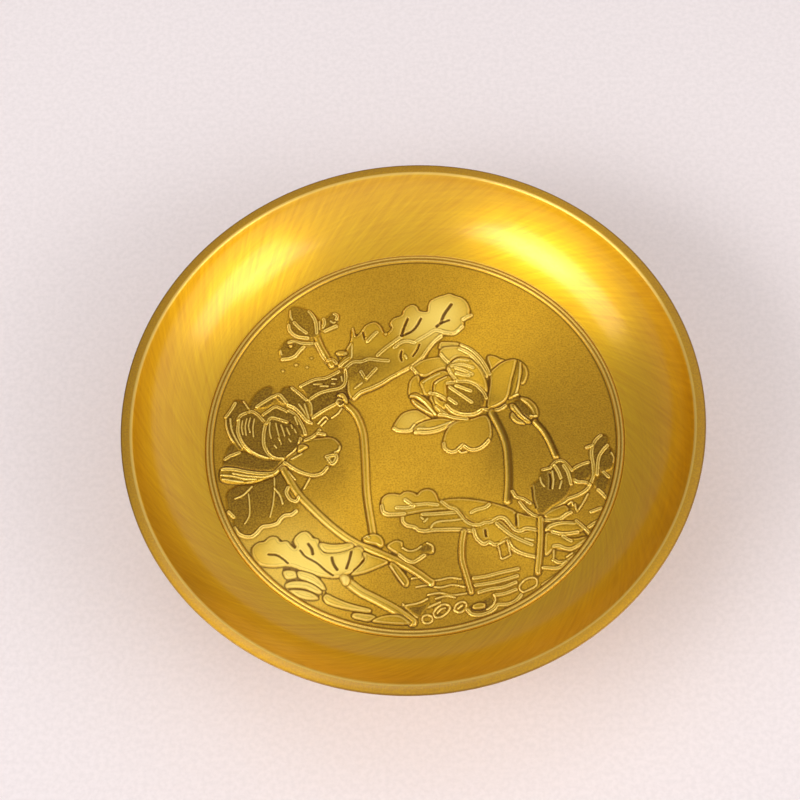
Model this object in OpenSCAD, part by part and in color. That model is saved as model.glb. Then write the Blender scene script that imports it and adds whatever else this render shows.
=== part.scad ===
// Footed brass offering dish with a lotus-pond medallion in its floor.
// The dish is turned about +Z and stands on its foot. The origin is the centre of the foot's base.
// All sizes are in millimetres.

/* [Dish] */
// Outer diameter of the rim
rim_d = 140; // [136:0.5:146]
// Height of the lip above the foot's base
total_h = 42; // [41:0.5:46]
// Depth from the lip down to the floor
bowl_depth = 13.8; // [13:0.1:14.6]
// Width of the flat turned lip
lip_w = 2.8; // [2.4:0.1:3.2]
// Height of the upright edge outside the lip
rim_land = 0.5; // [0.4:0.05:0.8]
// Bevel that breaks the lip's outer corner
lip_bevel = 0.3; // [0.1:0.05:0.35]
// Half of the angle that the wall's arc turns through
wall_bow = 21; // [18:0.5:23]

/* [Medallion] */
// Radius of the floor where the wall starts
floor_r = 51.4; // [50.5:0.1:52]
// Thickness of the medallion's disc
medallion_t = 1.5; // [1.2:0.1:1.8]
// Play between the medallion and its recess
medallion_play = 0.1; // [0.05:0.01:0.2]
// Height of the relief above its ground
relief_h = 0.7; // [0.4:0.1:1]
// Draft added round the relief's outlines
relief_soft = 0.12; // [0.08:0.01:0.2]
// Width of the bead at its seat
bezel_w = 2.1; // [1.8:0.1:2.4]
// Width of the bead's flat top
bezel_top_w = 0.9; // [0.6:0.1:1.2]
// Height of the bead
bezel_h = 0.65; // [0.5:0.05:0.9]
// Play between the bead and the wall
bezel_play = 0.1; // [0.05:0.01:0.15]

/* [Foot] */
// Radius of the foot's base
foot_r = 34; // [33:0.5:38]
// Height of the upright base edge
foot_edge_h = 2.4; // [2:0.1:3]
// Radius of the step above the base edge
foot_step_r = 32; // [31.5:0.1:32.5]
// Height of the step
foot_step_h = 1.6; // [1.2:0.1:2]
// Radius of the foot's concave sweep
sweep_r = 13; // [12.5:0.1:13.4]
// Radius of the neck
neck_r = 17.5; // [17:0.1:18]
// Straight height of the neck
neck_h = 0.6; // [0.3:0.1:1]
// Radius of the flange under the dish
flange_r = 24.5; // [23.5:0.1:26]
// Thickness of the flange's edge
flange_t = 1.8; // [1.4:0.1:2.2]
// Wall thickness of the hollow foot
foot_t = 2.8; // [2.4:0.1:3.2]
// Depth of the solid hub inside the foot's top
hub_t = 7; // [6.6:0.1:7.4]

/* [Joint] */
// Radius of the boss under the dish
boss_r = 9; // [8.5:0.1:10]
// Length of the boss
boss_h = 4; // [3.6:0.1:4.2]
// Play between the boss and its socket
boss_play = 0.1; // [0.05:0.01:0.2]
// Diameter of the stud's M6 thread
stud_d = 6; // [6:1:6]
// Depth of the tapped hole above the boss
tap_depth = 1.9; // [1.6:0.1:2]
// Play between the thread and its hole
thread_play = 0.05; // [0.03:0.01:0.08]
// Play of the stud in the foot's hub
hub_play = 0.3; // [0.2:0.05:0.4]
// Length of the stud that shows below the nut
stud_end = 1.6; // [1:0.1:2]
// Diameter of the flat washer
washer_d = 12; // [12:0.5:12.5]
// Bore of the flat washer
washer_bore = 6.4; // [6.4:0.1:6.6]
// Thickness of the flat washer
washer_t = 1.6; // [1.4:0.1:1.6]
// Diameter of the spring washer
spring_d = 11.2; // [11:0.1:11.8]
// Bore of the spring washer
spring_bore = 6.3; // [6.3:0.1:6.5]
// Thickness of the spring washer
spring_t = 1.6; // [1.4:0.1:1.6]
// Width of the spring washer's slit in degrees
spring_slit = 12; // [8:1:16]
// Width across the nut's flats
nut_af = 10; // [10:0.1:10]
// Height of the nut
nut_h = 5; // [4.8:0.1:5.2]

/* [Hidden] */
$fn = 96;

brass = [0.80, 0.61, 0.18];
brass_dark = [0.68, 0.50, 0.14];
steel = [0.72, 0.73, 0.74];

// Turned section of the bowl: one arc inside and a concentric one outside.
rim_r = rim_d / 2;
lip_r = rim_r - lip_w;
floor_z = total_h - bowl_depth;
chord = norm([lip_r - floor_r, bowl_depth]);
chord_a = atan2(bowl_depth, lip_r - floor_r);
arc_in = chord / (2 * sin(wall_bow));
arc_x = floor_r - arc_in * sin(chord_a - wall_bow);
arc_z = floor_z + arc_in * cos(chord_a - wall_bow);
arc_out = norm([rim_r - arc_x, total_h - rim_land - arc_z]);
under_z = arc_z - arc_out;

// Seats of the medallion and its bead.
bezel_r = floor_r - bezel_play - bezel_w / 2;
medallion_r = bezel_r - medallion_play;
field_r = bezel_r - bezel_w / 2 - 0.3;

// Seats of the foot and the fasteners.
sweep_x = neck_r + sweep_r;
sweep_z = foot_edge_h + foot_step_h + sweep_r;
flange_z = under_z - flange_t;
flare_z = sweep_z + neck_h;
flare_r = flange_z - flare_z;
hub_z = under_z - hub_t;
stud_r = stud_d / 2;
stud_top = under_z + tap_depth - 0.2;
washer_z = hub_z - washer_t;
spring_z = washer_z - spring_t;
nut_z = spring_z - nut_h;
stud_bottom = nut_z - stud_end;

// Outlines of the relief, seen from above with +Y away from the viewer's side of the dish.
leaves = [
    // great ruffled leaf at the top
    [[-15, 11], [-10, 13.6], [-6, 16], [-1, 19.4], [2.4, 22.2], [4.6, 26], [7, 28.2], [10, 28.6],
     [12.2, 30.8], [14.2, 33.6], [13.2, 37.5], [9, 39.9], [4.4, 38.2], [2.6, 35.2], [0, 37],
     [-3, 34.4], [-5.8, 32.4], [-7.2, 29], [-9.6, 32.2], [-12.6, 31], [-15, 30], [-17.4, 26],
     [-20, 22.4], [-22.4, 18], [-28, 15.6], [-26.6, 12], [-22, 12.6], [-25, 6.8], [-19.6, 9.8],
     [-16.6, 10.6]],
    // leaf under the left flower
    [[-39.6, -11.2], [-35.4, -10], [-33, -9.4], [-32.4, -12.4], [-30.2, -15.4], [-28.4, -17.6],
     [-29.4, -19.2], [-31.4, -19.6], [-33, -21.8], [-36.6, -22.6], [-38.2, -24.2], [-40.4, -25.2],
     [-43, -23.2], [-44.2, -20], [-45.6, -15.6], [-45, -12.8], [-42.4, -11.4]],
    // fan-shaped leaf at the lower left
    [[-38.9, -29], [-37.6, -26.7], [-34.2, -25.1], [-32, -26.5], [-30, -27.2], [-28.6, -28.4],
     [-28.6, -25.6], [-26.4, -24], [-24.6, -25.6], [-22.6, -27], [-16, -27.4], [-13, -28.4],
     [-11.6, -30.4], [-7, -32.3], [-10.4, -34.1], [-14.6, -35.1], [-18.4, -35.8], [-23, -35.2],
     [-29.8, -32.6], [-34, -32.8], [-37.4, -31.8]],
    // drooping leaf at the centre right
    [[-8, -17.4], [-7.4, -15.1], [-4.8, -14.5], [-2.4, -14.3], [-0.6, -14], [1, -14.5],
     [3, -13.5], [5, -14.6], [6.6, -16.3], [10, -16], [15, -16.2], [20, -17.2], [24, -19.4],
     [26.4, -21.6], [29, -23.4], [28.8, -31], [25.6, -30.8], [23.4, -29], [22, -26.8],
     [19.6, -27.6], [16.6, -27.8], [14.8, -25.6], [12, -24.2], [7, -23.8], [2.4, -24.4],
     [-1.4, -23.2], [-3, -21.4], [-4, -20.2], [-7.2, -19.6]],
    // two leaves at the right edge
    [[38.8, -8.6], [41, -7.6], [42.6, -6.8], [43.4, -3.4], [44.6, -0.8], [46.2, 0.2], [47.4, -1],
     [47.2, -2.8], [48.2, -5], [48, -8.6], [46.8, -10], [46.8, -13], [45.6, -16.2], [44, -14.2],
     [43, -13], [41.2, -12], [39, -11.6]],
    [[31.6, -21.8], [34, -20], [37, -18.2], [40.4, -16.6], [43.4, -15.8], [45, -17.6],
     [44.2, -20.4], [42.8, -23], [41, -25.8], [38.6, -27.8], [36, -29.6], [33.4, -32],
     [31.8, -30], [31.6, -25]],
    // curled leaf above the water and a short blade beside it
    [[-6, -28.4], [-4.4, -26.9], [-2.6, -27.2], [0, -28], [2.4, -27.4], [4.2, -27.9],
     [4.6, -29.4], [3, -30.4], [0.4, -32.3], [-2.4, -31.2], [-4, -30]],
    [[-5.6, -33.4], [-4.6, -33.2], [-2.4, -35.6], [-1.4, -37.4], [-2.2, -38.4], [-4.2, -36.4]],
    // blades and stones at the lower left
    [[-31.4, -34.2], [-29.6, -33.8], [-28.4, -34.2], [-28.4, -35.6], [-30.6, -36]],
    [[-27.6, -34], [-25, -34.6], [-22.8, -36.4], [-21.2, -38.4], [-22, -39.2], [-24.6, -37.6],
     [-27.4, -36]],
    [[-30.8, -37.2], [-28.4, -36.6], [-25.4, -37.6], [-22.8, -39.4], [-23.4, -40], [-26, -38.9],
     [-29.4, -38.3]],
    [[-29, -39.3], [-26.6, -39.4], [-24.4, -40.3], [-22.8, -41.2], [-25, -41.6], [-27.4, -40.8]],
    [[-21.4, -40.6], [-20.4, -40], [-16, -42], [-12, -43.8], [-9, -44.6], [-12, -44.7],
     [-17, -43.6], [-20.6, -42]],
    [[-14.6, -45.3], [-12, -45.2], [-9.6, -45.7], [-10.8, -46.6], [-13.6, -46.3]]
];
flowers = [
    // left flower: back petal, two front petals, crown and drooping petals
    [[-46.6, 7], [-45.4, 9.8], [-44.2, 11.8], [-42.2, 10.8], [-40.8, 8.8], [-43, 7.6], [-44.4, 5],
     [-43.8, 2], [-42.6, -1.2], [-44.6, 0.4], [-46.2, 3.6]],
    [[-43.3, 5.8], [-41.6, 7.6], [-39.6, 7.8], [-37.6, 5.6], [-37.1, 2], [-37, -1], [-35.7, -4],
     [-38, -3.7], [-41, -1.4], [-42.9, 1.6]],
    [[-36.3, 4.6], [-35, 6.2], [-31, 5], [-28.5, 3.4], [-28.2, 0], [-29.8, -3], [-32, -4.5],
     [-34.6, -4.2], [-36.1, -1.8]],
    [[-39.6, 9.4], [-40.2, 11.4], [-38.4, 13.9], [-35.8, 15.2], [-33, 14.4], [-30.4, 14.8],
     [-28.4, 12.4], [-26.8, 8.6], [-26, 5.2], [-27.4, 3.6], [-29.4, 5.4], [-33, 7.2],
     [-36, 7.2], [-37.6, 8.4]],
    [[-46.4, -4.6], [-43.6, -2.8], [-40, -3.8], [-36, -5.2], [-32.4, -5.2], [-33.6, -7.1],
     [-37, -7.8], [-42, -7.2], [-46.4, -6.4]],
    [[-46.6, -7.3], [-42, -8], [-37, -8.6], [-33.8, -8.2], [-34.4, -9.2], [-38, -10.1],
     [-42, -10.8], [-46.2, -9.8]],
    [[-31, -6.2], [-27.4, -8.6], [-24.2, -9.3], [-21.2, -7.6], [-19.2, -4.4], [-18.1, -1.6],
     [-19.4, 0.6], [-23, 1], [-26.8, 0.2], [-28, -2], [-29.6, -4.4]],
    // right flower: two low petals, a hanging petal, side petals, heart and back petals
    [[-5.2, 3], [-3.8, 5.8], [-1, 7.6], [1, 7.4], [3.6, 5.8], [0.6, 4.2], [-0.8, 2.4],
     [-3.4, 2.2]],
    [[0.2, 2], [1.4, 3.8], [5, 4.8], [9, 4.4], [7, 2.4], [3.6, 1.5]],
    [[10, 3.8], [8, 1.8], [7.2, -1.4], [8.6, -3.5], [10.6, -2.8], [12, -1.9], [13.4, -3.2],
     [16.2, -2.6], [18.4, -0.2], [18.2, 3.6], [16.4, 4.8], [13, 4.7]],
    [[-0.8, 11.2], [1.2, 10.4], [3.2, 8.8], [4.6, 7], [3.4, 6.8], [1, 8.6], [-0.4, 10]],
    [[8.2, 14], [12.4, 14.8], [15.6, 14], [17.4, 11.4], [16.8, 8.2], [13.4, 6.2], [9.6, 6.2],
     [6.4, 6.6], [5.2, 9], [5.4, 12]],
    [[-0.8, 12.4], [-1, 14.8], [-0.2, 17], [-0.2, 19.4], [3, 21.3], [6.2, 22], [7, 20.4],
     [7.6, 18.8], [8.4, 17], [7.6, 15.2], [5, 14.2], [3.4, 12], [1, 11.9]],
    [[6.4, 24.4], [6.8, 26.1], [11, 25.9], [14.2, 24], [16.8, 21], [17.8, 18], [18, 14],
     [16.4, 15], [13, 16], [10.6, 16], [8.9, 18.6], [8.5, 20.8]],
    [[18.4, 21.4], [19.4, 22.3], [22.4, 21], [25.6, 21.2], [27.4, 19.4], [28, 16.4],
     [26.4, 14.4], [25.2, 11.8], [22.6, 9.4], [19.8, 8.2], [18.8, 11], [19.2, 16], [18.8, 19]],
    // bud with two leaflets at the upper left
    [[-26, 28.4], [-28.5, 28.6], [-30.4, 29.6], [-31.4, 31.2], [-31.6, 33], [-31.2, 35],
     [-31.1, 36.4], [-30.2, 37.1], [-28.4, 36.8], [-26.4, 36.2], [-24.8, 34.8], [-23.8, 32.8],
     [-23.6, 30.6], [-24, 29]],
    [[-24, 27.4], [-26.5, 27.5], [-29, 27.6], [-31.2, 28], [-32.8, 26.8], [-33.6, 24.8],
     [-33, 22.6], [-31.6, 22.4], [-29.6, 23.4], [-28.2, 24.8], [-27, 26], [-24, 26]],
    [[-22.9, 30.4], [-22.6, 32.6], [-21.6, 34.2], [-20.2, 35.3], [-19, 35], [-18.7, 33.6],
     [-19.4, 31.8], [-21, 30.6]],
    // small bud at the right
    [[23.6, 8.4], [25, 10.2], [27, 10.5], [29.2, 9.4], [30.3, 6.8], [30, 4.9], [27.6, 3.5],
     [25, 4.4], [23.8, 6.2]],
    // opening bud at the right edge
    [[30.6, -10.6], [32, -8.6], [34, -7], [35.8, -6.2], [37.4, -7.4], [38.2, -10], [38.4, -12.2],
     [41, -12.8], [42, -13.8], [39, -16], [35, -18.2], [31.8, -20.6], [29.4, -20.2],
     [26.6, -17.6], [24.4, -15.4], [27.6, -16.4], [28.4, -13]]
];
water = [
    // bank of ripples and pebbles at the bottom
    [[4, -38.4], [8, -36.8], [13, -36], [18, -35], [22.6, -35.4], [24, -38], [23.4, -40.6],
     [20, -43], [14, -45], [8, -45.8], [3, -47.4], [0.6, -46.2], [-1.8, -43.4], [-3.2, -40.8],
     [0, -39.4]],
    [[25, -37.6], [27.4, -36.6], [28.6, -37.2], [28, -38.6], [26.2, -39.8], [25.2, -39.2]],
    [[-9.6, -46.6], [-5, -45.8], [-1.4, -47.2], [-4, -47.8], [-8, -47.2]]
];
// Centre lines and widths of the stems.
stems = [
    [1.8, [[-24, 28.8], [-22.8, 25.6], [-21.4, 22.4], [-20.2, 19.6]]],
    [1.9, [[-17, 10.4], [-14.4, 7], [-12.8, 3], [-12.1, -1], [-11.8, -7], [-11.4, -15], [-10, -25]]],
    [1.9, [[-31.6, -7.4], [-28.2, -13.6], [-24.6, -17.8], [-19.6, -22.8], [-14, -27], [-8, -29.9],
           [-2, -33], [4, -38]]],
    [1.9, [[19.2, 7], [21, 2.4], [22.3, -2], [22.8, -7], [22.8, -12], [22.4, -18]]],
    [1.6, [[29.6, 4.2], [31.6, 1.4], [33.2, -2], [34.6, -6.4]]],
    [1.7, [[12, -24], [11.4, -28], [11.5, -32], [13.2, -40]]],
    [1.5, [[30.3, -19.6], [30.2, -27], [29.4, -34.6]]],
    [2.2, [[-17.4, -35.6], [-14, -38.2], [-8, -42], [-2, -46.2]]],
    [3, [[-12.6, -26.4], [-10.4, -26.1], [-8.6, -26.9]]]
];

// One point of the Catmull-Rom curve between b and c.
function curve_pt(a, b, c, d, t) =
    0.5 * (2 * b + (c - a) * t + (2 * a - 5 * b + 4 * c - d) * t * t
    + (3 * b - a - 3 * c + d) * t * t * t);

// A closed outline through its corners, with k steps from one to the next.
function closed_curve(p, k = 2) =
    let (n = len(p))
    [for (i = [0:n - 1]) for (j = [0:k - 1])
        curve_pt(p[(i + n - 1) % n], p[i], p[(i + 1) % n], p[(i + 2) % n], j / k)];

// An open line through its points, ending on the last one.
function open_curve(p, k = 2) =
    let (n = len(p))
    concat(
        [for (i = [0:n - 2]) for (j = [0:k - 1])
            curve_pt(p[max(i - 1, 0)], p[i], p[i + 1], p[min(i + 2, n - 1)], j / k)],
        [p[n - 1]]);

// The line moved sideways by s.
function beside(q, s) =
    [for (i = [0:len(q) - 1])
        let (v = q[min(i + 1, len(q) - 1)] - q[max(i - 1, 0)])
        q[i] + s * [-v.y, v.x] / norm(v)];

// A strip of even width along a line.
module strip(w, p) {
    q = open_curve(p);
    right = beside(q, -w / 2);
    left = beside(q, w / 2);
    polygon(concat(right, [for (i = [len(left) - 1:-1:0]) left[i]]));
}

module relief_plan() {
    offset(delta = relief_soft)
    intersection() {
        union() {
            for (p = leaves) polygon(closed_curve(p));
            for (p = flowers) polygon(closed_curve(p));
            for (p = water) polygon(closed_curve(p));
            for (s = stems) strip(s[0], s[1]);
        }
        circle(r = field_r);
    }
}

// A rectangle of the turned section, from the axis out to r.
module from_axis(r, z0, z1) {
    translate([0, z0]) square([r, z1 - z0]);
}

module bowl_section() {
    difference() {
        union() {
            from_axis(arc_x, under_z, total_h);
            intersection() {
                translate([arc_x, arc_z]) circle(r = arc_out);
                translate([arc_x - 1, under_z]) square([rim_r - arc_x + 1, total_h - under_z]);
            }
        }
        from_axis(floor_r, floor_z, total_h + 1);
        intersection() {
            translate([arc_x, arc_z]) circle(r = arc_in);
            translate([arc_x, floor_z]) square([rim_r, bowl_depth + 1]);
        }
        from_axis(bezel_r, floor_z - medallion_t, floor_z + 1);
        translate([rim_r, total_h]) rotate(45) square(lip_bevel * sqrt(2), center = true);
    }
}

module dish() {
    color(brass)
    difference() {
        union() {
            rotate_extrude() bowl_section();
            translate([0, 0, under_z - boss_h]) cylinder(r = boss_r, h = boss_h + 1);
        }
        translate([0, 0, under_z - boss_h - 1])
        cylinder(r = stud_r, h = boss_h + tap_depth + 1);
    }
}

module lotus_medallion() {
    color(brass_dark)
    union() {
        translate([0, 0, floor_z - medallion_t]) cylinder(r = medallion_r, h = medallion_t);
        translate([0, 0, floor_z - medallion_t / 2])
        linear_extrude(medallion_t / 2 + relief_h) relief_plan();
    }
}

module medallion_bezel() {
    color(brass)
    rotate_extrude()
    translate([bezel_r, floor_z])
    polygon([[-bezel_w / 2, 0], [bezel_w / 2, 0], [bezel_top_w / 2, bezel_h], [-bezel_top_w / 2, bezel_h]]);
}

module foot_section() {
    difference() {
        union() {
            from_axis(foot_r, 0, foot_edge_h);
            from_axis(foot_step_r, 0, foot_edge_h + foot_step_h);
            difference() {
                from_axis(sweep_x, 1, sweep_z);
                translate([sweep_x, sweep_z]) circle(r = sweep_r);
            }
            from_axis(neck_r, 1, under_z);
            difference() {
                from_axis(neck_r + flare_r, flare_z, under_z);
                translate([neck_r + flare_r, flare_z]) circle(r = flare_r);
            }
            from_axis(flange_r, flange_z, under_z);
        }
        from_axis(neck_r - foot_t, -1, hub_z);
        difference() {
            from_axis(sweep_x, -1, min(sweep_z, hub_z));
            translate([sweep_x, sweep_z]) circle(r = sweep_r + foot_t);
        }
        from_axis(stud_r + hub_play, hub_z - 1, under_z + 1);
        from_axis(boss_r + boss_play, under_z - boss_h - 2 * boss_play, under_z + 1);
    }
}

module foot() {
    color(brass) rotate_extrude() foot_section();
}

module stud() {
    color(steel)
    translate([0, 0, stud_bottom]) cylinder(r = stud_r - thread_play, h = stud_top - stud_bottom);
}

module flat_washer() {
    color(steel)
    difference() {
        translate([0, 0, washer_z]) cylinder(d = washer_d, h = washer_t);
        translate([0, 0, washer_z - 1]) cylinder(d = washer_bore, h = washer_t + 2);
    }
}

module spring_washer() {
    color(steel)
    rotate_extrude(angle = 360 - spring_slit)
    translate([spring_bore / 2, spring_z])
    square([(spring_d - spring_bore) / 2, spring_t]);
}

module hex_nut() {
    corner = nut_af / sqrt(3);
    bevel = corner - nut_af / 2;
    color(steel)
    difference() {
        intersection() {
            translate([0, 0, nut_z]) cylinder(r = corner, h = nut_h, $fn = 6);
            rotate_extrude()
            translate([0, nut_z])
            polygon([[0, 0], [corner - bevel, 0], [corner, bevel / 2], [corner, nut_h - bevel / 2],
                     [corner - bevel, nut_h], [0, nut_h]]);
        }
        translate([0, 0, nut_z - 1]) cylinder(r = stud_r, h = nut_h + 2);
    }
}

dish();
lotus_medallion();
medallion_bezel();
foot();
stud();
flat_washer();
spring_washer();
hex_nut();
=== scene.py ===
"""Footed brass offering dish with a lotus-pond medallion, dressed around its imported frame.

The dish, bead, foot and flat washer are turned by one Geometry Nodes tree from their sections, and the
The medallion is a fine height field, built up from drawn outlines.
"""

import math

import bpy
import numpy as np
from mathutils import Matrix, Vector


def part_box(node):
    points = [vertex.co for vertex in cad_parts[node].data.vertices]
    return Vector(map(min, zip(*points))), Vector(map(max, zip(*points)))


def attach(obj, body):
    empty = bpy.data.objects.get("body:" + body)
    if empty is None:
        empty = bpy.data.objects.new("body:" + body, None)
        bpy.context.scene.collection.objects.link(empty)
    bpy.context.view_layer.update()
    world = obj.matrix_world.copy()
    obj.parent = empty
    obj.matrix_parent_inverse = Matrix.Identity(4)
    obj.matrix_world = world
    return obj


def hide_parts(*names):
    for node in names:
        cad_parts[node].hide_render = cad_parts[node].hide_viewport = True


bl_info = {
    "name": "Offering Dish",
    "version": (1, 0, 0),
    "blender": (4, 5, 0),
    "location": "View3D > Sidebar > Offering Dish",
    "description": "Builds a footed brass offering dish with a lotus-pond medallion",
    "category": "Object",
}

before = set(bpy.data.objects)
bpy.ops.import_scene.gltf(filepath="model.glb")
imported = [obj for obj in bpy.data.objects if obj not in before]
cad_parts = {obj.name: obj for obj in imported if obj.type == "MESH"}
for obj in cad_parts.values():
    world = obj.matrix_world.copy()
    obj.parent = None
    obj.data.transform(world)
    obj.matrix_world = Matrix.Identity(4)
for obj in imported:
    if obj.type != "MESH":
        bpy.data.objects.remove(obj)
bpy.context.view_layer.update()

MM = 0.001
BODY = "root"


def span(node):
    """Outer radius, bottom and top of a turned node, in mm."""
    low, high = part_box(node)
    return high.x / MM, low.z / MM, high.z / MM


RIM_R, BOSS_Z, RIM_Z = span("dish")
MEDALLION_R, MEDALLION_Z, _ = span("lotus_medallion")
BEAD_R, FLOOR_Z, _ = span("medallion_bezel")
FOOT_R, BASE_Z, UNDER_Z = span("foot")
STUD_R, STUD_Z, STUD_TOP_Z = span("stud")
WASHER_R, WASHER_Z, HUB_Z = span("flat_washer")
SPRING_R, SPRING_Z, SPRING_TOP_Z = span("spring_washer")
NUT_CORNER_R, NUT_Z, NUT_TOP_Z = span("hex_nut")


def linear(code):
    """Scene-linear colour of an sRGB hex code."""
    parts = [int(code[i:i + 2], 16) / 255 for i in (1, 3, 5)]
    return tuple(c / 12.92 if c <= 0.04045 else ((c + 0.055) / 1.055) ** 2.4 for c in parts)


def length(name, text, value):
    """A length property whose default is given in mm."""
    return bpy.props.FloatProperty(
        name=name, description=text, default=value * MM, unit="LENGTH", precision=5)


def angle(name, text, degrees):
    """An angle property whose default is given in degrees."""
    return bpy.props.FloatProperty(
        name=name, description=text, default=math.radians(degrees), subtype="ANGLE")


def colour(name, text, code):
    """A colour property whose default is an sRGB hex code."""
    return bpy.props.FloatVectorProperty(
        name=name, description=text, default=linear(code), subtype="COLOR", min=0, max=1)


class DishSizes(bpy.types.PropertyGroup):
    """Sizes of the turned pieces that the frame doesn't give."""

    segments: bpy.props.IntProperty(name="Segments", description="Steps of one turn", default=288, min=48)
    lip: length("Lip width", "Width of the lip", 2.8)
    land: length("Rim land", "Height of the upright land outside the lip", 0.5)
    arris: length("Lip arris", "How far the edge between the wall and the lip is rounded", 0.55)
    lip_fall: length("Lip fall", "How far the lip falls towards the outside", 0.3)
    edge: length("Edge softness", "How far a turned edge is eased", 0.4)
    bow: angle("Wall bow", "Half the angle of the wall's arc", 21)
    recess_play: length("Recess play", "Gap between the medallion and its recess", 0.1)
    boss: length("Boss radius", "Radius of the boss under the dish", 9)
    bead: length("Bead width", "Width of the bead at its foot", 2.1)
    bead_top: length("Bead top", "Width of the bead's top", 1.3)
    bead_groove: length("Bead groove", "Width of the groove between the bead's two ridges", 0.6)
    bead_h: length("Bead height", "Height of the bead", 0.42)


class FootSizes(bpy.types.PropertyGroup):
    """Sizes of the foot's section that the frame doesn't give."""

    edge_h: length("Edge height", "Height of the foot's upright edge", 2.4)
    step_r: length("Step radius", "Radius of the step above the edge", 32)
    step_h: length("Step height", "Height of the step above the edge", 1.6)
    sweep: length("Sweep radius", "Radius of the concave sweep", 13)
    neck: length("Neck radius", "Radius of the neck", 17.5)
    neck_h: length("Neck height", "Height of the straight neck", 0.6)
    flange: length("Flange radius", "Radius of the flange under the dish", 24.5)
    flange_t: length("Flange thickness", "Thickness of that flange", 1.8)
    wall: length("Wall", "Wall thickness of the hollow foot", 2.8)
    bore: length("Hub bore", "Radius of the hole for the stud", 3.3)
    socket: length("Boss socket", "Radius of the socket round the boss", 9.1)
    socket_play: length("Socket play", "Gap under the boss", 0.2)


class FastenerSizes(bpy.types.PropertyGroup):
    """Sizes of the M6 joint under the dish."""

    pitch: length("Pitch", "Rise of the thread in one turn", 1.0)
    depth: length("Thread depth", "Depth of the thread", 0.6)
    play: length("Thread play", "Gap between the stud's and the nut's threads", 0.04)
    washer_bore: length("Washer bore", "Radius of the flat washer's hole", 3.2)
    spring_bore: length("Spring bore", "Radius of the spring washer's hole", 3.15)
    edge: length("Edge softness", "How far an edge is eased", 0.18)
    slit: angle("Slit", "Opening of the spring washer", 12)


class ReliefSizes(bpy.types.PropertyGroup):
    """Sizes of the medallion's relief."""

    height: length("Relief height", "Height of the front petals", 0.68)
    pitch: length("Raster pitch", "Spacing of the raster on which the relief is drawn", 0.085)
    blur: length("Softness", "Softness of the struck edges", 0.05)
    cells: bpy.props.IntProperty(
        name="Cells", description="Cells across the disc, a multiple of 8", default=720)
    triangles: bpy.props.IntProperty(
        name="Triangles", description="Most triangles of the disc", default=194000)


class DishColours(bpy.types.PropertyGroup):
    """Colours of the finishes."""

    brass: colour("Brass", "Lacquered brass, brushed", "#F2C112")
    brass_deep: colour("Brass, deep", "Brass in the brush marks", "#DEA408")
    frost: colour("Frosted brass", "Ground of the medallion", "#EDBE32")
    frost_deep: colour("Frosted brass, deep", "Pits of the frosted ground", "#CB951B")
    # Laid on rubbed relief, and also on the ground as a pale patch of painted sheen
    burnished_and_sheen: colour("Burnished brass", "Leaves that are rubbed smooth", "#FADA66")
    # Painted highlight: laid on the crests of the relief, the bead's ridges and the lip's inner edge
    glint: colour("Glint", "Edges of the relief, rubbed down to pale metal", "#FCDA76")
    # Laid as painted shade in the relief's hollows, at feet, along stems and at the lip's outer edge, and as
    # grime in grainy parts
    patina_and_shade: colour("Patina", "Brown tarnish in the hollows of the relief", "#643C08")
    zinc: colour("Zinc", "Zinc plating on steel", "#BFC3C6")
    zinc_deep: colour("Zinc, dull", "Dull spangle of the plating", "#9EA3A8")
    floor: colour("Floor", "Pale pinkish paper", "#EFE6E8")


class DishSettings(bpy.types.PropertyGroup):
    """All settings of the dish."""

    dish: bpy.props.PointerProperty(type=DishSizes)
    foot: bpy.props.PointerProperty(type=FootSizes)
    fasteners: bpy.props.PointerProperty(type=FastenerSizes)
    relief: bpy.props.PointerProperty(type=ReliefSizes)
    colours: bpy.props.PointerProperty(type=DishColours)


def settings():
    """The settings kept on the scene."""
    return bpy.context.scene.offering_dish


def in_mm(group):
    """The lengths of a property group in mm, by name."""
    lengths = {}
    for name, prop in group.bl_rna.properties.items():
        if prop.type == "FLOAT" and prop.unit == "LENGTH":
            lengths[name] = getattr(group, name) / MM
    return lengths


def fill(tree, node, inputs):
    """Sets or links a node's inputs, by name or in order. A node stands for its first output in use."""
    pairs = inputs.items() if isinstance(inputs, dict) else enumerate(inputs)
    for key, value in pairs:
        if isinstance(value, bpy.types.Node):
            value = next(socket for socket in value.outputs if socket.enabled)
        if isinstance(value, bpy.types.NodeSocket):
            tree.links.new(value, node.inputs[key])
        else:
            node.inputs[key].default_value = value


def add(tree, kind, inputs=(), **properties):
    """Adds a node, sets its properties, and fills or links its inputs."""
    node = tree.nodes.new(kind)
    for name, value in properties.items():
        setattr(node, name, value)
    fill(tree, node, inputs)
    return node


# Materials

# Sizes of the marks in mm. Real brush marks, tool marks, blasted grain and paper tooth are too fine to
# show, so they are drawn this coarse. A brush mark has a slant from the turning direction, a width and a
# length
SLANTING_MARKS = (math.radians(33), 0.65, 16)
TURNING_MARKS = (math.radians(7), 0.45, 30)
FOOT_RINGS = 0.6
BEAD_RINGS = 0.4
METAL_GRAIN = 0.4
BLASTED_GRAIN = 0.42
GROUND_CLOUDS = 2.6
ZINC_CLOUDS = 1.6
ZINC_GRAIN = 0.2
PAPER_TOOTH = 1.2


def new_material(name):
    """A material with only its output and a principled shader."""
    material = bpy.data.materials.new(name)
    material.use_nodes = True
    tree = material.node_tree
    tree.nodes.clear()
    shader = add(tree, "ShaderNodeBsdfPrincipled")
    add(tree, "ShaderNodeOutputMaterial", {"Surface": shader})
    return material, tree, shader


def turned_place(tree):
    """Radius, angle, place, height and outward direction of a point on a turned piece."""
    place = add(tree, "ShaderNodeTexCoord").outputs["Object"]
    x, y, height = add(tree, "ShaderNodeSeparateXYZ", [place]).outputs
    turn = add(tree, "ShaderNodeMath", (y, x), operation="ARCTAN2")
    outwards = add(tree, "ShaderNodeCombineXYZ", (x, y))
    radius = add(tree, "ShaderNodeVectorMath", [outwards], operation="LENGTH")
    return radius, turn, place, height, outwards


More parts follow.
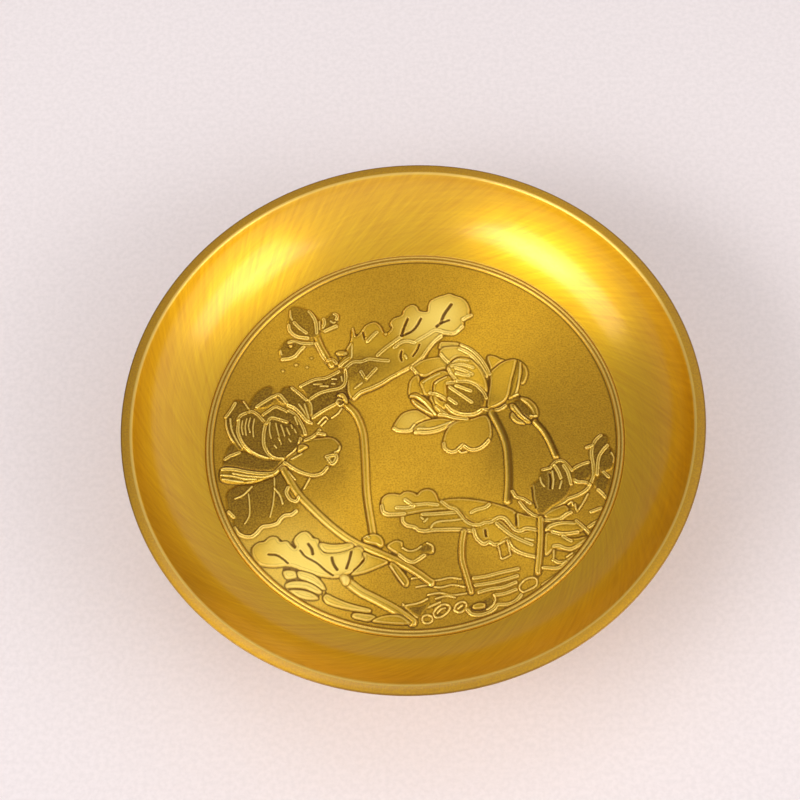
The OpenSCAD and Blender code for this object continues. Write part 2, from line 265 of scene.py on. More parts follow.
def brush_marks(tree, radius, turn, height, slant, width, reach):
    """Noise drawn out along a spiral round the axis, by a slant from the turning direction."""
    log_r = add(tree, "ShaderNodeMath", (radius, math.e), operation="LOGARITHM")
    wound = add(tree, "ShaderNodeMath", (log_r, 1 / math.tan(slant), turn), operation="MULTIPLY_ADD")
    across = []
    for wave in ("COSINE", "SINE"):
        swing = add(tree, "ShaderNodeMath", [wound], operation=wave)
        marks_round = RIM_R * math.sin(slant) / width
        across.append(add(tree, "ShaderNodeMath", (swing, marks_round), operation="MULTIPLY"))
    run = add(tree, "ShaderNodeMath", (radius, height), operation="ADD")
    along = add(tree, "ShaderNodeMath", (run, 1 / (reach * math.sin(slant) * MM)), operation="MULTIPLY")
    spiral = add(tree, "ShaderNodeCombineXYZ", (*across, along))
    return add(tree, "ShaderNodeTexNoise", {"Vector": spiral, "Scale": 1.0, "Detail": 3.0})


def lathe_rings(tree, radius, turn, height, spacing):
    """Noise drawn out into rings round the axis, spacing mm apart, which drift a little along each turn."""
    wave = add(tree, "ShaderNodeMath", [turn], operation="COSINE")
    drift = add(tree, "ShaderNodeMath", (wave, 1.5 * spacing * MM), operation="MULTIPLY")
    section = add(tree, "ShaderNodeCombineXYZ", (radius, height, drift))
    return add(tree, "ShaderNodeTexNoise", {"Vector": section, "Scale": 1 / (spacing * MM)})


def off_radius(tree, radius, middle):
    """Distance of a point's radius from a radius in mm."""
    aside = add(tree, "ShaderNodeMath", (radius, middle * MM), operation="SUBTRACT")
    return add(tree, "ShaderNodeMath", [aside], operation="ABSOLUTE")


def kept_to_rim(tree, share, height, none, full):
    """A share kept to the rim: gone at one depth in mm below the top, and full at a smaller one."""
    kept = add(tree, "ShaderNodeMapRange", (height, (RIM_Z - none) * MM, (RIM_Z - full) * MM, 0.0, 1.0))
    return add(tree, "ShaderNodeMath", (share, kept), operation="MULTIPLY")


def rgba(value):
    """A colour property as four numbers."""
    return (*value, 1.0)


def layered(tree, ground, *coats):
    """A ground colour under coats of other colours, each laid on by its share."""
    tone = rgba(ground)
    for share, coat in coats:
        tone = add(tree, "ShaderNodeMix", {0: share, 6: tone, 7: rgba(coat)}, data_type="RGBA")
    return tone


def metal_face(tree, shader, tone, roughness, marks, depth):
    """Bare metal of a tone and a roughness, with marks from 0 to 1 cut to a depth in mm."""
    cut = add(tree, "ShaderNodeBump", {"Height": marks, "Distance": depth * MM, "Strength": 1.0})
    fill(tree, shader, {"Base Color": tone, "Roughness": roughness, "Normal": cut, "Metallic": 1.0})


def lathe_sheen(tree, shader, outwards, amount):
    """Draws highlights out across the lathe marks, as fine rings do."""
    fill(tree, shader, {"Anisotropic": amount, "Tangent": outwards})


def lacquer(tree, shader, weight, roughness):
    """A thin clear lacquer, which gives highlights a white core."""
    fill(tree, shader, {"Coat Weight": weight, "Coat Roughness": roughness})


def brushed_brass(name, colours):
    """Cast brass, turned and then brushed by hand under a thin lacquer: satin, with soft slanting marks.

    The lip is only faced, so it is darker and duller than the wall, with a fine grain. Its inner edge is
    painted pale as a painted highlight, and its outer edge painted dark as a painted shade.
    """
    material, tree, shader = new_material(name)
    radius, turn, place, height, outwards = turned_place(tree)
    lip_starts, lip_full = (RIM_R - 2.5) * MM, (RIM_R - 2.2) * MM
    edge_starts, edge_full = (RIM_R - 0.6) * MM, (RIM_R - 0.25) * MM
    arris_r = RIM_R - 2.6
    slanting = brush_marks(tree, radius, turn, height, *SLANTING_MARKS)
    turning = brush_marks(tree, radius, turn, height, *TURNING_MARKS)
    marks = add(tree, "ShaderNodeMath", (turning, 0.5, slanting), operation="MULTIPLY_ADD")
    marked = add(tree, "ShaderNodeMapRange", (marks, 0.45, 1.05, 1.0, 0.0))
    fine = add(tree, "ShaderNodeTexNoise", {"Vector": place, "Scale": 1 / (METAL_GRAIN * MM)})
    speckle = add(tree, "ShaderNodeMapRange", (fine, 0.35, 0.65, 0.5, 1.0))
    outside = add(tree, "ShaderNodeMapRange", (radius, lip_starts, lip_full, 0.0, 1.0))
    lip = kept_to_rim(tree, outside, height, 0.9, 0.8)
    faced = add(tree, "ShaderNodeMath", (lip, speckle), operation="MULTIPLY")
    # Painted highlight: a pale band along the lip's inner edge
    from_arris = off_radius(tree, radius, arris_r)
    arris_glint = add(tree, "ShaderNodeMapRange", (from_arris, 0.15 * MM, 0.4 * MM, 0.6, 0.0))
    tone_and_sheen = kept_to_rim(tree, arris_glint, height, 0.5, 0.3)
    # Painted shade: a dark band along the lip's outer edge
    grime_and_shade = add(tree, "ShaderNodeMapRange", (radius, edge_starts, edge_full, 0.0, 0.6))
    edge = kept_to_rim(tree, grime_and_shade, height, 1.2, 0.9)
    tone = layered(tree, colours.brass, (marked, colours.brass_deep), (faced, colours.frost_deep),
                   (tone_and_sheen, colours.glint), (edge, colours.patina_and_shade))
    satin = add(tree, "ShaderNodeMapRange", (marks, 0.4, 1.1, 0.43, 0.33))
    dull = add(tree, "ShaderNodeMath", (lip, 0.05, satin), operation="MULTIPLY_ADD")
    cuts = add(tree, "ShaderNodeMath", (fine, 0.35, marks), operation="MULTIPLY_ADD")
    metal_face(tree, shader, tone, dull, cuts, 0.02)
    lathe_sheen(tree, shader, outwards, 0.75)
    lacquer(tree, shader, 1.0, 0.17)
    return material


def turned_brass(name, colours):
    """Brass straight from the lathe: fine rings, a little brighter than the brushed wall."""
    material, tree, shader = new_material(name)
    radius, turn, place, height, outwards = turned_place(tree)
    rings = lathe_rings(tree, radius, turn, height, FOOT_RINGS)
    marked = add(tree, "ShaderNodeMapRange", (rings, 0.3, 0.7, 1.0, 0.0))
    satin = add(tree, "ShaderNodeMapRange", (rings, 0.3, 0.7, 0.46, 0.36))
    fine = add(tree, "ShaderNodeTexNoise", {"Vector": place, "Scale": 1 / (METAL_GRAIN * MM)})
    cuts = add(tree, "ShaderNodeMath", (fine, 0.3, rings), operation="MULTIPLY_ADD")
    tone = layered(tree, colours.brass, (marked, colours.brass_deep))
    metal_face(tree, shader, tone, satin, cuts, 0.018)
    lathe_sheen(tree, shader, outwards, 0.75)
    lacquer(tree, shader, 0.4, 0.28)
    return material


def painted_bead_brass(name, colours):
    """Brass bead, turned: two ridges painted pale as their highlight, with brown shade painted between them
    and at both feet.
    """
    material, tree, shader = new_material(name)
    radius, turn, place, height, outwards = turned_place(tree)
    crest_starts, crest_full = (FLOOR_Z + 0.32) * MM, (FLOOR_Z + 0.4) * MM
    foot_full, foot_ends = (FLOOR_Z + 0.06) * MM, (FLOOR_Z + 0.16) * MM
    groove_r = BEAD_R - 1.05
    rings = lathe_rings(tree, radius, turn, height, BEAD_RINGS)
    fine = add(tree, "ShaderNodeTexNoise", {"Vector": place, "Scale": 1 / (METAL_GRAIN * MM)})
    pits = add(tree, "ShaderNodeMapRange", (fine, 0.35, 0.65, 0.9, 0.4))
    # Painted highlight on the ridges, and painted shade at both feet and in the groove
    crest = add(tree, "ShaderNodeMapRange", (height, crest_starts, crest_full, 0.0, 0.5))
    foot = add(tree, "ShaderNodeMapRange", (height, foot_full, foot_ends, 0.85, 0.0))
    from_groove = off_radius(tree, radius, groove_r)
    hollow = add(tree, "ShaderNodeMapRange", (from_groove, 0.08 * MM, 0.28 * MM, 0.5, 0.0))
    tone = layered(tree, colours.frost, (pits, colours.frost_deep), (crest, colours.glint),
                   (foot, colours.patina_and_shade), (hollow, colours.patina_and_shade))
    satin = add(tree, "ShaderNodeMapRange", (rings, 0.3, 0.7, 0.36, 0.26))
    metal_face(tree, shader, tone, satin, fine, 0.02)
    lathe_sheen(tree, shader, outwards, 0.75)
    lacquer(tree, shader, 0.4, 0.28)
    return material


def frosted_brass(name, colours):
    """Struck brass with a blasted ground: fine even grain, smoother and brighter where the relief stands.

    The mesh says where: "raised" is the height of the relief, "shade" is painted light, 1 for a highlight
    painted on crests and -1 for shade painted in hollows, at feet and along the shaded side of stems, and
    "polish" runs from -1, left grainy from the die, to 1, rubbed smooth; it also holds a pale patch painted
    on the ground as sheen. Rubbed parts keep a milky coat left by polishing, which makes them paler than
    bare metal; on the crests the same paleness is a painted highlight.
    """
    material, tree, shader = new_material(name)
    radius, _, place, _, outwards = turned_place(tree)
    raised, shade, polish_and_sheen = [add(tree, "ShaderNodeAttribute", attribute_name=field).outputs["Fac"]
                             for field in ("raised", "shade", "polish_and_sheen")]
    fine = add(tree, "ShaderNodeTexNoise", {"Vector": place, "Scale": 1 / (BLASTED_GRAIN * MM)})
    coarse = add(tree, "ShaderNodeTexNoise",
                 {"Vector": place, "Scale": 1 / (GROUND_CLOUDS * MM), "Detail": 3.0})

    low = add(tree, "ShaderNodeMapRange", (raised, 0.2, 0.8, 1.0, 0.35))
    rough = add(tree, "ShaderNodeMapRange", (polish_and_sheen, -0.2, -1.0, 0.0, 1.0))
    grainy = add(tree, "ShaderNodeMath", (low, rough), operation="MAXIMUM")
    pitted = add(tree, "ShaderNodeMapRange", (fine, 0.3, 0.6, 0.8, 0.0))
    pits = add(tree, "ShaderNodeMath", (pitted, grainy), operation="MULTIPLY")
    clouds = add(tree, "ShaderNodeMapRange", (coarse, 0.35, 0.7, 0.0, 0.2))
    speck = add(tree, "ShaderNodeMapRange", (fine, 0.35, 0.65, 0.85, 0.5))
    grime_and_shade = add(tree, "ShaderNodeMath", (speck, rough), operation="MULTIPLY")
    # The burnished colour and the milky paleness also carry the pale patch of painted sheen on the ground
    burnish_and_sheen, smooth, milky_face = [add(tree, "ShaderNodeMapRange", (polish_and_sheen, 0.1, 1.0, 0.0, most))
                                for most in (0.9, 1.0, 0.75)]
    # Painted highlight: the crests are laid pale and made less metallic
    crests, bright, milky_crest = [add(tree, "ShaderNodeMapRange", (shade, 0.1, 0.8, 0.0, most))
                                   for most in (0.95, 0.22, 0.25)]
    # Painted shade in hollows, at feet and along the shaded side of stems
    hollows = add(tree, "ShaderNodeMapRange", (shade, -0.1, -0.9, 0.0, 0.9))
    tone = layered(tree, colours.frost, (pits, colours.frost_deep), (clouds, colours.frost_deep),
                   (grime_and_shade, colours.patina_and_shade), (burnish_and_sheen, colours.burnished_and_sheen), (crests, colours.glint),
                   (hollows, colours.patina_and_shade))

    dull = add(tree, "ShaderNodeMapRange", (raised, 0.1, 0.9, 0.6, 0.5))
    rubbed = add(tree, "ShaderNodeMath", (smooth, -0.03, dull), operation="MULTIPLY_ADD")
    satin = add(tree, "ShaderNodeMath", (rubbed, bright), operation="SUBTRACT")
    blasted = add(tree, "ShaderNodeMath", (fine, grainy), operation="MULTIPLY")
    metal_face(tree, shader, tone, satin, blasted, 0.08)
    lathe_sheen(tree, shader, outwards, 0.9)
    lacquer(tree, shader, 0.3, 0.35)

    still = add(tree, "ShaderNodeMapRange", (radius, 3 * MM, 20 * MM, 0.0, 0.9))
    milky = add(tree, "ShaderNodeMath", (milky_face, milky_crest), operation="MAXIMUM")
    bare = add(tree, "ShaderNodeMath", (1.0, milky), operation="SUBTRACT")
    fill(tree, shader, {"Metallic": bare, "Anisotropic": still})
    return material


def zinc_plate(name, colours):
    """Steel plated with zinc: cool grey, with the faint clouds of the bath and fine tool marks."""
    material, tree, shader = new_material(name)
    place = add(tree, "ShaderNodeTexCoord").outputs["Object"]
    clouds = add(tree, "ShaderNodeTexNoise",
                 {"Vector": place, "Scale": 1 / (ZINC_CLOUDS * MM), "Detail": 3.0})
    fine = add(tree, "ShaderNodeTexNoise", {"Vector": place, "Scale": 1 / (ZINC_GRAIN * MM)})
    dull = add(tree, "ShaderNodeMapRange", (clouds, 0.35, 0.65, 0.0, 1.0))
    satin = add(tree, "ShaderNodeMapRange", (clouds, 0.3, 0.7, 0.3, 0.45))
    tone = layered(tree, colours.zinc, (dull, colours.zinc_deep))
    metal_face(tree, shader, tone, satin, fine, 0.01)
    return material


def floor_paper(name, colours):
    """Matt pale paper with a faint tooth."""
    material, tree, shader = new_material(name)
    place = add(tree, "ShaderNodeTexCoord").outputs["Object"]
    tooth = add(tree, "ShaderNodeTexNoise", {"Vector": place, "Scale": 1 / (PAPER_TOOTH * MM)})
    dips = add(tree, "ShaderNodeMapRange", (tooth, 0.35, 0.65, 0.0, 1.0))
    tone = layered(tree, colours.floor, (dips, [0.94 * c for c in colours.floor]))
    fill(tree, shader, {"Base Color": tone, "Roughness": 0.85, "Specular IOR Level": 0.15})
    return material


def shared(name, make):
    """A material by its name, made when it is first asked for."""
    return bpy.data.materials.get(name) or make(name, settings().colours)


# Turned pieces

MANDREL_R = 1.0
MERGE_REACH = 0.002
TURNED_SHARP = math.radians(40)


def arc(centre, radius, start, end, steps):
    """Points of an arc, angles in degrees from +R towards +Z."""
    angles = np.radians(np.linspace(start, end, steps + 1))
    return [(centre[0] + radius * math.cos(a), centre[1] + radius * math.sin(a)) for a in angles]


def eased(corners, steps=4):
    """A section's points, from corners (r, z) left sharp or (r, z, ease) rounded off."""
    most = 0.45
    points = []
    count = len(corners)
    for i, corner in enumerate(corners):
        here = np.array(corner[:2], float)
        if len(corner) == 2:
            points.append(tuple(here))
            continue
        before = np.array(corners[i - 1][:2], float) - here
        after = np.array(corners[(i + 1) % count][:2], float) - here
        run = min(corner[2], most * np.linalg.norm(before), most * np.linalg.norm(after))
        first = here + before / np.linalg.norm(before) * run
        last = here + after / np.linalg.norm(after) * run
        for t in np.linspace(0, 1, steps + 1):
            points.append(tuple((1 - t) ** 2 * first + 2 * t * (1 - t) * here + t * t * last))
    return points


def new_tree(name, inputs):
    """An empty Geometry Nodes tree with named inputs, and those inputs as sockets."""
    tree = bpy.data.node_groups.new(name, "GeometryNodeTree")
    for label, kind in inputs:
        tree.interface.new_socket(label, in_out="INPUT", socket_type=f"NodeSocket{kind}")
    tree.interface.new_socket("Piece", in_out="OUTPUT", socket_type="NodeSocketGeometry")
    return tree, add(tree, "NodeGroupInput").outputs


def end_tree(tree, piece, material):
    """Ends a tree in a plain piece of a material."""
    whole = add(tree, "GeometryNodeRealizeInstances", [piece])
    dressed = add(tree, "GeometryNodeSetMaterial", {"Geometry": whole, "Material": material})
    add(tree, "NodeGroupOutput", [dressed])
    return tree


def turning_tree():
    """Geometry Nodes tree that turns the section in its input round the Z axis."""
    name = "Turned Piece"
    if name in bpy.data.node_groups:
        return bpy.data.node_groups[name]
    tree, given = new_tree(name, (
        ("Section", "Geometry"), ("Segments", "Int"), ("Mandrel", "Float"), ("Sharp Angle", "Float"),
        ("Material", "Material")))
    section = add(tree, "GeometryNodeMeshToCurve", {"Mesh": given["Section"]})
    circle = add(tree, "GeometryNodeCurvePrimitiveCircle",
                 {"Resolution": given["Segments"], "Radius": given["Mandrel"]})
    swept = add(tree, "GeometryNodeCurveToMesh", {"Curve": circle, "Profile Curve": section})
    closed = add(tree, "GeometryNodeMergeByDistance", {"Geometry": swept, "Distance": MERGE_REACH * MM})
    smooth = add(tree, "GeometryNodeSetShadeSmooth", {"Geometry": closed}, domain="FACE")
    edge_angle = add(tree, "GeometryNodeInputMeshEdgeAngle")
    sharp = add(tree, "FunctionNodeCompare", (edge_angle, given["Sharp Angle"]),
                data_type="FLOAT", operation="GREATER_THAN")
    edged = add(tree, "GeometryNodeSetShadeSmooth",
                {"Geometry": smooth, "Selection": sharp, "Shade Smooth": False}, domain="EDGE")
    return end_tree(tree, edged, given["Material"])


def baked(name, mesh, tree, values):
    """An object whose mesh is what the tree makes of the given mesh and input values."""
    piece = bpy.data.objects.new(name, mesh)
    bpy.context.scene.collection.objects.link(piece)
    modifier = piece.modifiers.new(tree.name, "NODES")
    modifier.node_group = tree
    for item in tree.interface.items_tree:
        if item.in_out == "INPUT" and item.name in values:
            modifier[item.identifier] = values[item.name]
    graph = bpy.context.evaluated_depsgraph_get()
    result = bpy.data.meshes.new_from_object(piece.evaluated_get(graph), depsgraph=graph)
    piece.modifiers.remove(modifier)
    piece.data = result
    result.name = name
    bpy.data.meshes.remove(mesh)
    return piece


def turned(name, section, material, segments, open_ended=False):
    """A piece turned from a section of (r, z) points in mm. An open section starts and ends on the axis."""
    outline = np.array(section, float)
    r, z = outline[:, 0], outline[:, 1]
    area = np.sum(r * np.roll(z, -1) - np.roll(r, -1) * z)
    if area > 0:
        outline = outline[::-1]
    points = [((p[0] - MANDREL_R) * MM, -p[1] * MM, 0) for p in outline]
    count = len(points)
    edges = [(i, i + 1) for i in range(count - 1)]
    if not open_ended:
        edges.append((count - 1, 0))
    mesh = bpy.data.meshes.new(name)
    mesh.from_pydata(points, edges, [])
    return baked(name, mesh, turning_tree(), {
        "Segments": segments, "Mandrel": MANDREL_R * MM, "Sharp Angle": TURNED_SHARP, "Material": material})


def hand_in(piece, slot, *nodes):
    """Ties a finished piece to its body and hides the nodes that it stands for; the slot is not used."""
    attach(piece, BODY)
    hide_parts(*nodes)


# Relief drawing: lines and outlines in mm on the medallion, +Y towards the top of the pond


def stroke(kind, width=None):
    """A function that makes strokes of a kind from points, led by a size where no width is set."""
    if width is None:
        return lambda size, *points: (kind, size, points)
    return lambda *points: (kind, width, points)


# Patches with a level from 0 to 1 and an outline: smooth with a bevelled edge, grainy, and domed
plate, patch, pebble = [stroke(kind) for kind in ("plate", "patch", "pebble")]

# Lines with a width in mm: cut, flat-topped, and a brown band of painted shade along the shaded side of a
# line
groove, stem, painted_shade = [stroke(kind) for kind in ("groove", "stem", "painted_shade")]

# Raised lines of a set width in mm: double, thin, and fine
wire = stroke("wire", 0.88)
rib = stroke("rib", 0.52)
vein = stroke("rib", 0.42)

UPPER_LEAF = (
    patch(0.45, (-15.6, 11.2), (-16.2, 14), (-16.8, 18), (-19.6, 18), (-21.6, 16.8), (-24, 16.8),
          (-28, 15.2), (-26.8, 13), (-26.4, 11.2), (-25.4, 9.8), (-25.4, 7), (-22.4, 8), (-19.6, 9.6),
          (-17, 10.4)),
    plate(0.8, (-13, 29.8), (-12, 31.4), (-10, 32.3), (-8.5, 31.3), (-7.6, 29.5), (-7, 28.8), (-5.8, 29.8),
          (-5.4, 30.8), (-5.9, 31.8), (-5, 33.2), (-3, 34), (-2.5, 35.4), (-1.5, 36.5), (-0.2, 37),
          (0.8, 36.3), (1.3, 35.3), (2.2, 35), (3.5, 35), (3.7, 36.6), (4.3, 38), (6, 39), (7.6, 39.5),
          (9, 39.9), (10.2, 39.4), (12, 38.7), (13.2, 37.5), (13.9, 35.6), (13.9, 34.2), (14.2, 33.2),
          (12.3, 32.5), (12.4, 31.2), (11.4, 29.6), (10, 28.6), (8, 28.5), (7, 28.2), (4.8, 26), (3, 23),
          (1.5, 21.3), (0, 20), (-2, 18.8), (-5, 16.9), (-7.5, 15), (-10, 13.6), (-13, 12.4), (-15, 11),
          (-16.2, 13), (-16.4, 16.4), (-17, 19), (-18.8, 20.6), (-17.4, 22.6), (-16.6, 25), (-15.6, 27.4),
          (-15.4, 30.4), (-14.4, 28.4)),
    wire((-14.8, 11.2), (-13.2, 12.8), (-10.4, 14), (-8, 15.2), (-5.6, 16.8), (-2, 18.9), (0.2, 20.3),
         (2, 22), (3.6, 24.4), (5, 26.4), (6.8, 28)),
    wire((-9, 22.9), (-7.4, 24.5), (-5.2, 26.3), (-3.2, 27.9)),
    groove(0.75, (-3, 28.2), (-0.6, 29.4), (0.8, 31), (1.8, 33)),
    groove(0.75, (-3, 28.4), (-2.4, 30.6), (-1.5, 33)),
    groove(0.9, (9.4, 36.8), (7.6, 34), (6.8, 31.8), (5.8, 30.8)),
    groove(0.7, (6.8, 31.6), (8.8, 32.4)),
    wire((12.2, 30.6), (11, 29.4), (9.8, 28.7), (7.6, 29), (5.4, 29.6), (3.2, 28.2), (0.6, 26.6)),
    wire((0.2, 26.2), (-1.6, 26.7), (-3.4, 26.2), (-4.8, 25)),
    wire((12.4, 32.6), (14.4, 33.8)),
    groove(0.6, (1.4, 25.8), (0.8, 24.2), (-0.2, 22.6)),
    groove(0.6, (-3, 24), (-3.3, 22.6), (-3, 21.4)),
    rib((-2.2, 22.8), (-1.7, 21.8)),
    groove(0.6, (-12.7, 29.6), (-12.2, 27.6)),
    rib((-12, 27.9), (-11.7, 26.5)),
    wire((-11.5, 26.9), (-10.4, 28.2), (-9.2, 29.4)),
    wire((-17.2, 19.4), (-15.2, 21.1), (-13, 21.2), (-11.2, 21.9), (-9, 21.6), (-6.3, 21.3)),
    wire((-13.1, 18.5), (-12.4, 17.2), (-11.8, 16.2)),
    wire((-11.6, 16.6), (-10.6, 17.8), (-9.4, 19.2)),
    rib((-14.6, 13.9), (-12.8, 15.4)),
    wire((-18.4, 20.2), (-17.2, 21.4), (-16, 22.3)),
    wire((-28, 15), (-26.4, 15.9), (-24.4, 16.8), (-22.2, 17), (-20.4, 17.8), (-18.6, 18.9)),
    rib((-18, 17.4), (-17.7, 16)),
    rib((-24.8, 15.4), (-22.8, 15.4)),
    rib((-23.2, 14.9), (-21.2, 14.8)),
    rib((-20.3, 16.8), (-19.2, 16.7)),
    rib((-20.3, 15.5), (-19.6, 15.4)),
    wire((-25.6, 11.4), (-23.4, 12.9), (-20.8, 13.7), (-18.6, 14.1), (-17.2, 15.2), (-16.9, 17), (-17, 19)),
    wire((-26.2, 11), (-25.5, 9.6), (-25.4, 7.2)),
    wire((-24.9, 6.4), (-22.6, 8), (-20.4, 9.3), (-18.8, 10.2)),
    rib((-15.3, 30.8), (-14.7, 28.4)),
    rib((-15.4, 26.2), (-15.5, 22.4)),
    rib((-16.6, 25), (-15.7, 26.4)),
    rib((-23.6, 4.7), (-22, 6.5), (-21.2, 5.9)),
    rib((-22.8, 4.2), (-21.6, 5.5)),
    rib((-20.2, 6.2), (-18.8, 7.3), (-17.8, 8.7)),
    stem(1.6, (-16.8, 9.8), (-14.3, 7), (-12.6, 2.5), (-12.1, -2), (-11.8, -8), (-11.4, -15), (-10, -24.5)),
    rib((-17.4, 10.9), (-18.6, 11.2), (-19.1, 10.2), (-18.2, 9.4), (-17.2, 10)),
    plate(0.85, (-18.9, 12.2), (-17.6, 12.8), (-16.6, 11.5), (-16.4, 10.1), (-17.1, 10.4), (-17.6, 11.5)),
    pebble(0.6, (-7.4, 29), (-7, 29.4), (-6.6, 29), (-7, 28.6)),
)

SMALL_BUDS = (
    patch(0.6, (-24.2, 27.2), (-26.5, 27.4), (-29, 27.6), (-31.2, 28.2), (-32.8, 26.8), (-33.6, 24.8),
          (-33, 22.6), (-31.6, 22.4), (-29.6, 23.4), (-28.2, 24.8), (-27, 26), (-24.6, 26)),
    wire((-32.8, 22.5), (-31, 22.7), (-29.6, 23.4), (-28.5, 24.8), (-27.5, 25.9)),
    wire((-31.2, 27.2), (-29.7, 27.6), (-28, 26.9), (-26, 26.8), (-24.4, 26.9)),
    rib((-33.3, 25), (-33, 23.8)),
    pebble(0.9, (-31.3, 26.2), (-30.8, 26.6), (-30.2, 26.4), (-30.6, 25.8)),
    patch(0.6, (-23, 30.3), (-22.8, 32.6), (-21.6, 34.2), (-20.2, 35.3), (-19, 35), (-18.7, 33.6),
          (-19.4, 31.8), (-21, 30.6)),
    wire((-22.6, 33.6), (-22.4, 32.3), (-22.8, 31.3)),
    wire((-22.2, 30.2), (-20.8, 30.9), (-19.4, 31.5)),
    rib((-20.9, 32.9), (-20.2, 32.4), (-19.7, 32.6)),
    wire((-20, 35), (-19.2, 34.4), (-19.4, 33.4)),
    stem(1.5, (-24.2, 28.6), (-22.9, 25.4), (-21.2, 22.2), (-20.4, 20.6)),
    wire((-24.4, 26.8), (-23.6, 25), (-22.6, 23), (-21.7, 21.6)),
    patch(0.75, (-26, 28.4), (-28.5, 28.5), (-30.4, 29.4), (-31.4, 31.2), (-31.6, 33), (-31.2, 35),
          (-31.1, 36.6), (-30.2, 37.3), (-28.4, 37), (-26.4, 36.2), (-24.8, 34.8), (-23.7, 32.8),
          (-23.4, 30.6), (-23.7, 29)),
    rib((-31.1, 36.2), (-31, 34.6), (-30.5, 33.4)),
    wire((-30, 32.7), (-28.6, 31.1), (-26.9, 29.7)),
    wire((-31.4, 32), (-31.2, 30.8), (-30.4, 29.6), (-29, 28.7), (-26.6, 28.3)),
    wire((-26.3, 35.8), (-25.2, 34.2), (-24.5, 32.2), (-24.3, 29.6)),
    rib((-23.6, 33), (-23.5, 30.6)),
    wire((-21.4, 21.8), (-20.2, 22.1), (-19.3, 21.2)),
    plate(0.6, (-19.4, 23.9), (-18.6, 24.4), (-17, 24.2), (-16.7, 23.5), (-18.4, 23.4)),
    pebble(0.5, (-29.8, 21), (-29.3, 21.4), (-28.8, 21), (-29.3, 20.6)),
    pebble(0.4, (-33, 19.4), (-32.6, 19.8), (-32.2, 19.4), (-32.6, 19)),
    pebble(0.4, (-27, 20.3), (-26.6, 20.7), (-26.2, 20.3), (-26.6, 19.9)),
    pebble(0.4, (-25.9, 22.8), (-25.5, 23.1), (-25.1, 22.8), (-25.5, 22.5)),
)

LEFT_LEAF = (
    patch(0.55, (-42, -11.2), (-40, -11.3), (-38.6, -11), (-37, -10.4), (-34.4, -9.6), (-33.5, -9),
          (-32.4, -8.2), (-31.6, -10), (-30.9, -12), (-30.6, -14), (-29.8, -15.6), (-28.6, -16.8),
          (-28.1, -18), (-28.6, -19), (-30, -19.3), (-31.3, -19.5), (-32.2, -21), (-33.4, -22), (-35, -22.3),
          (-36.4, -22.4), (-37.4, -23.4), (-38.6, -24.6), (-40, -25.1), (-41.4, -24.9), (-42.6, -23.8),
          (-43.3, -22.6), (-43.6, -21), (-43.8, -20), (-44.8, -18.8), (-45.2, -17), (-45.4, -15.6),
          (-45.6, -14), (-44.8, -12.6), (-43.4, -11.8)),
    wire((-43.3, -22.6), (-42.3, -24.1), (-40.8, -24.9), (-39.2, -25), (-38, -24.1), (-36.6, -22.5),
         (-34.6, -22.2), (-33, -21.6), (-32.2, -20.4), (-31.2, -19.6), (-29.6, -19.4), (-28.5, -18.5)),
    wire((-44.9, -18.4), (-43.6, -19.8)),
    rib((-43.4, -15), (-41.6, -14.2), (-40.4, -13), (-39.4, -11.9)),
    vein((-40.2, -13.8), (-39.9, -16), (-39.8, -19.4), (-40.8, -21.6)),
    vein((-34, -9.6), (-33.9, -13), (-34.2, -17), (-34.8, -20)),
    rib((-34, -12.4), (-32.6, -14.2), (-31.8, -16.6)),
)

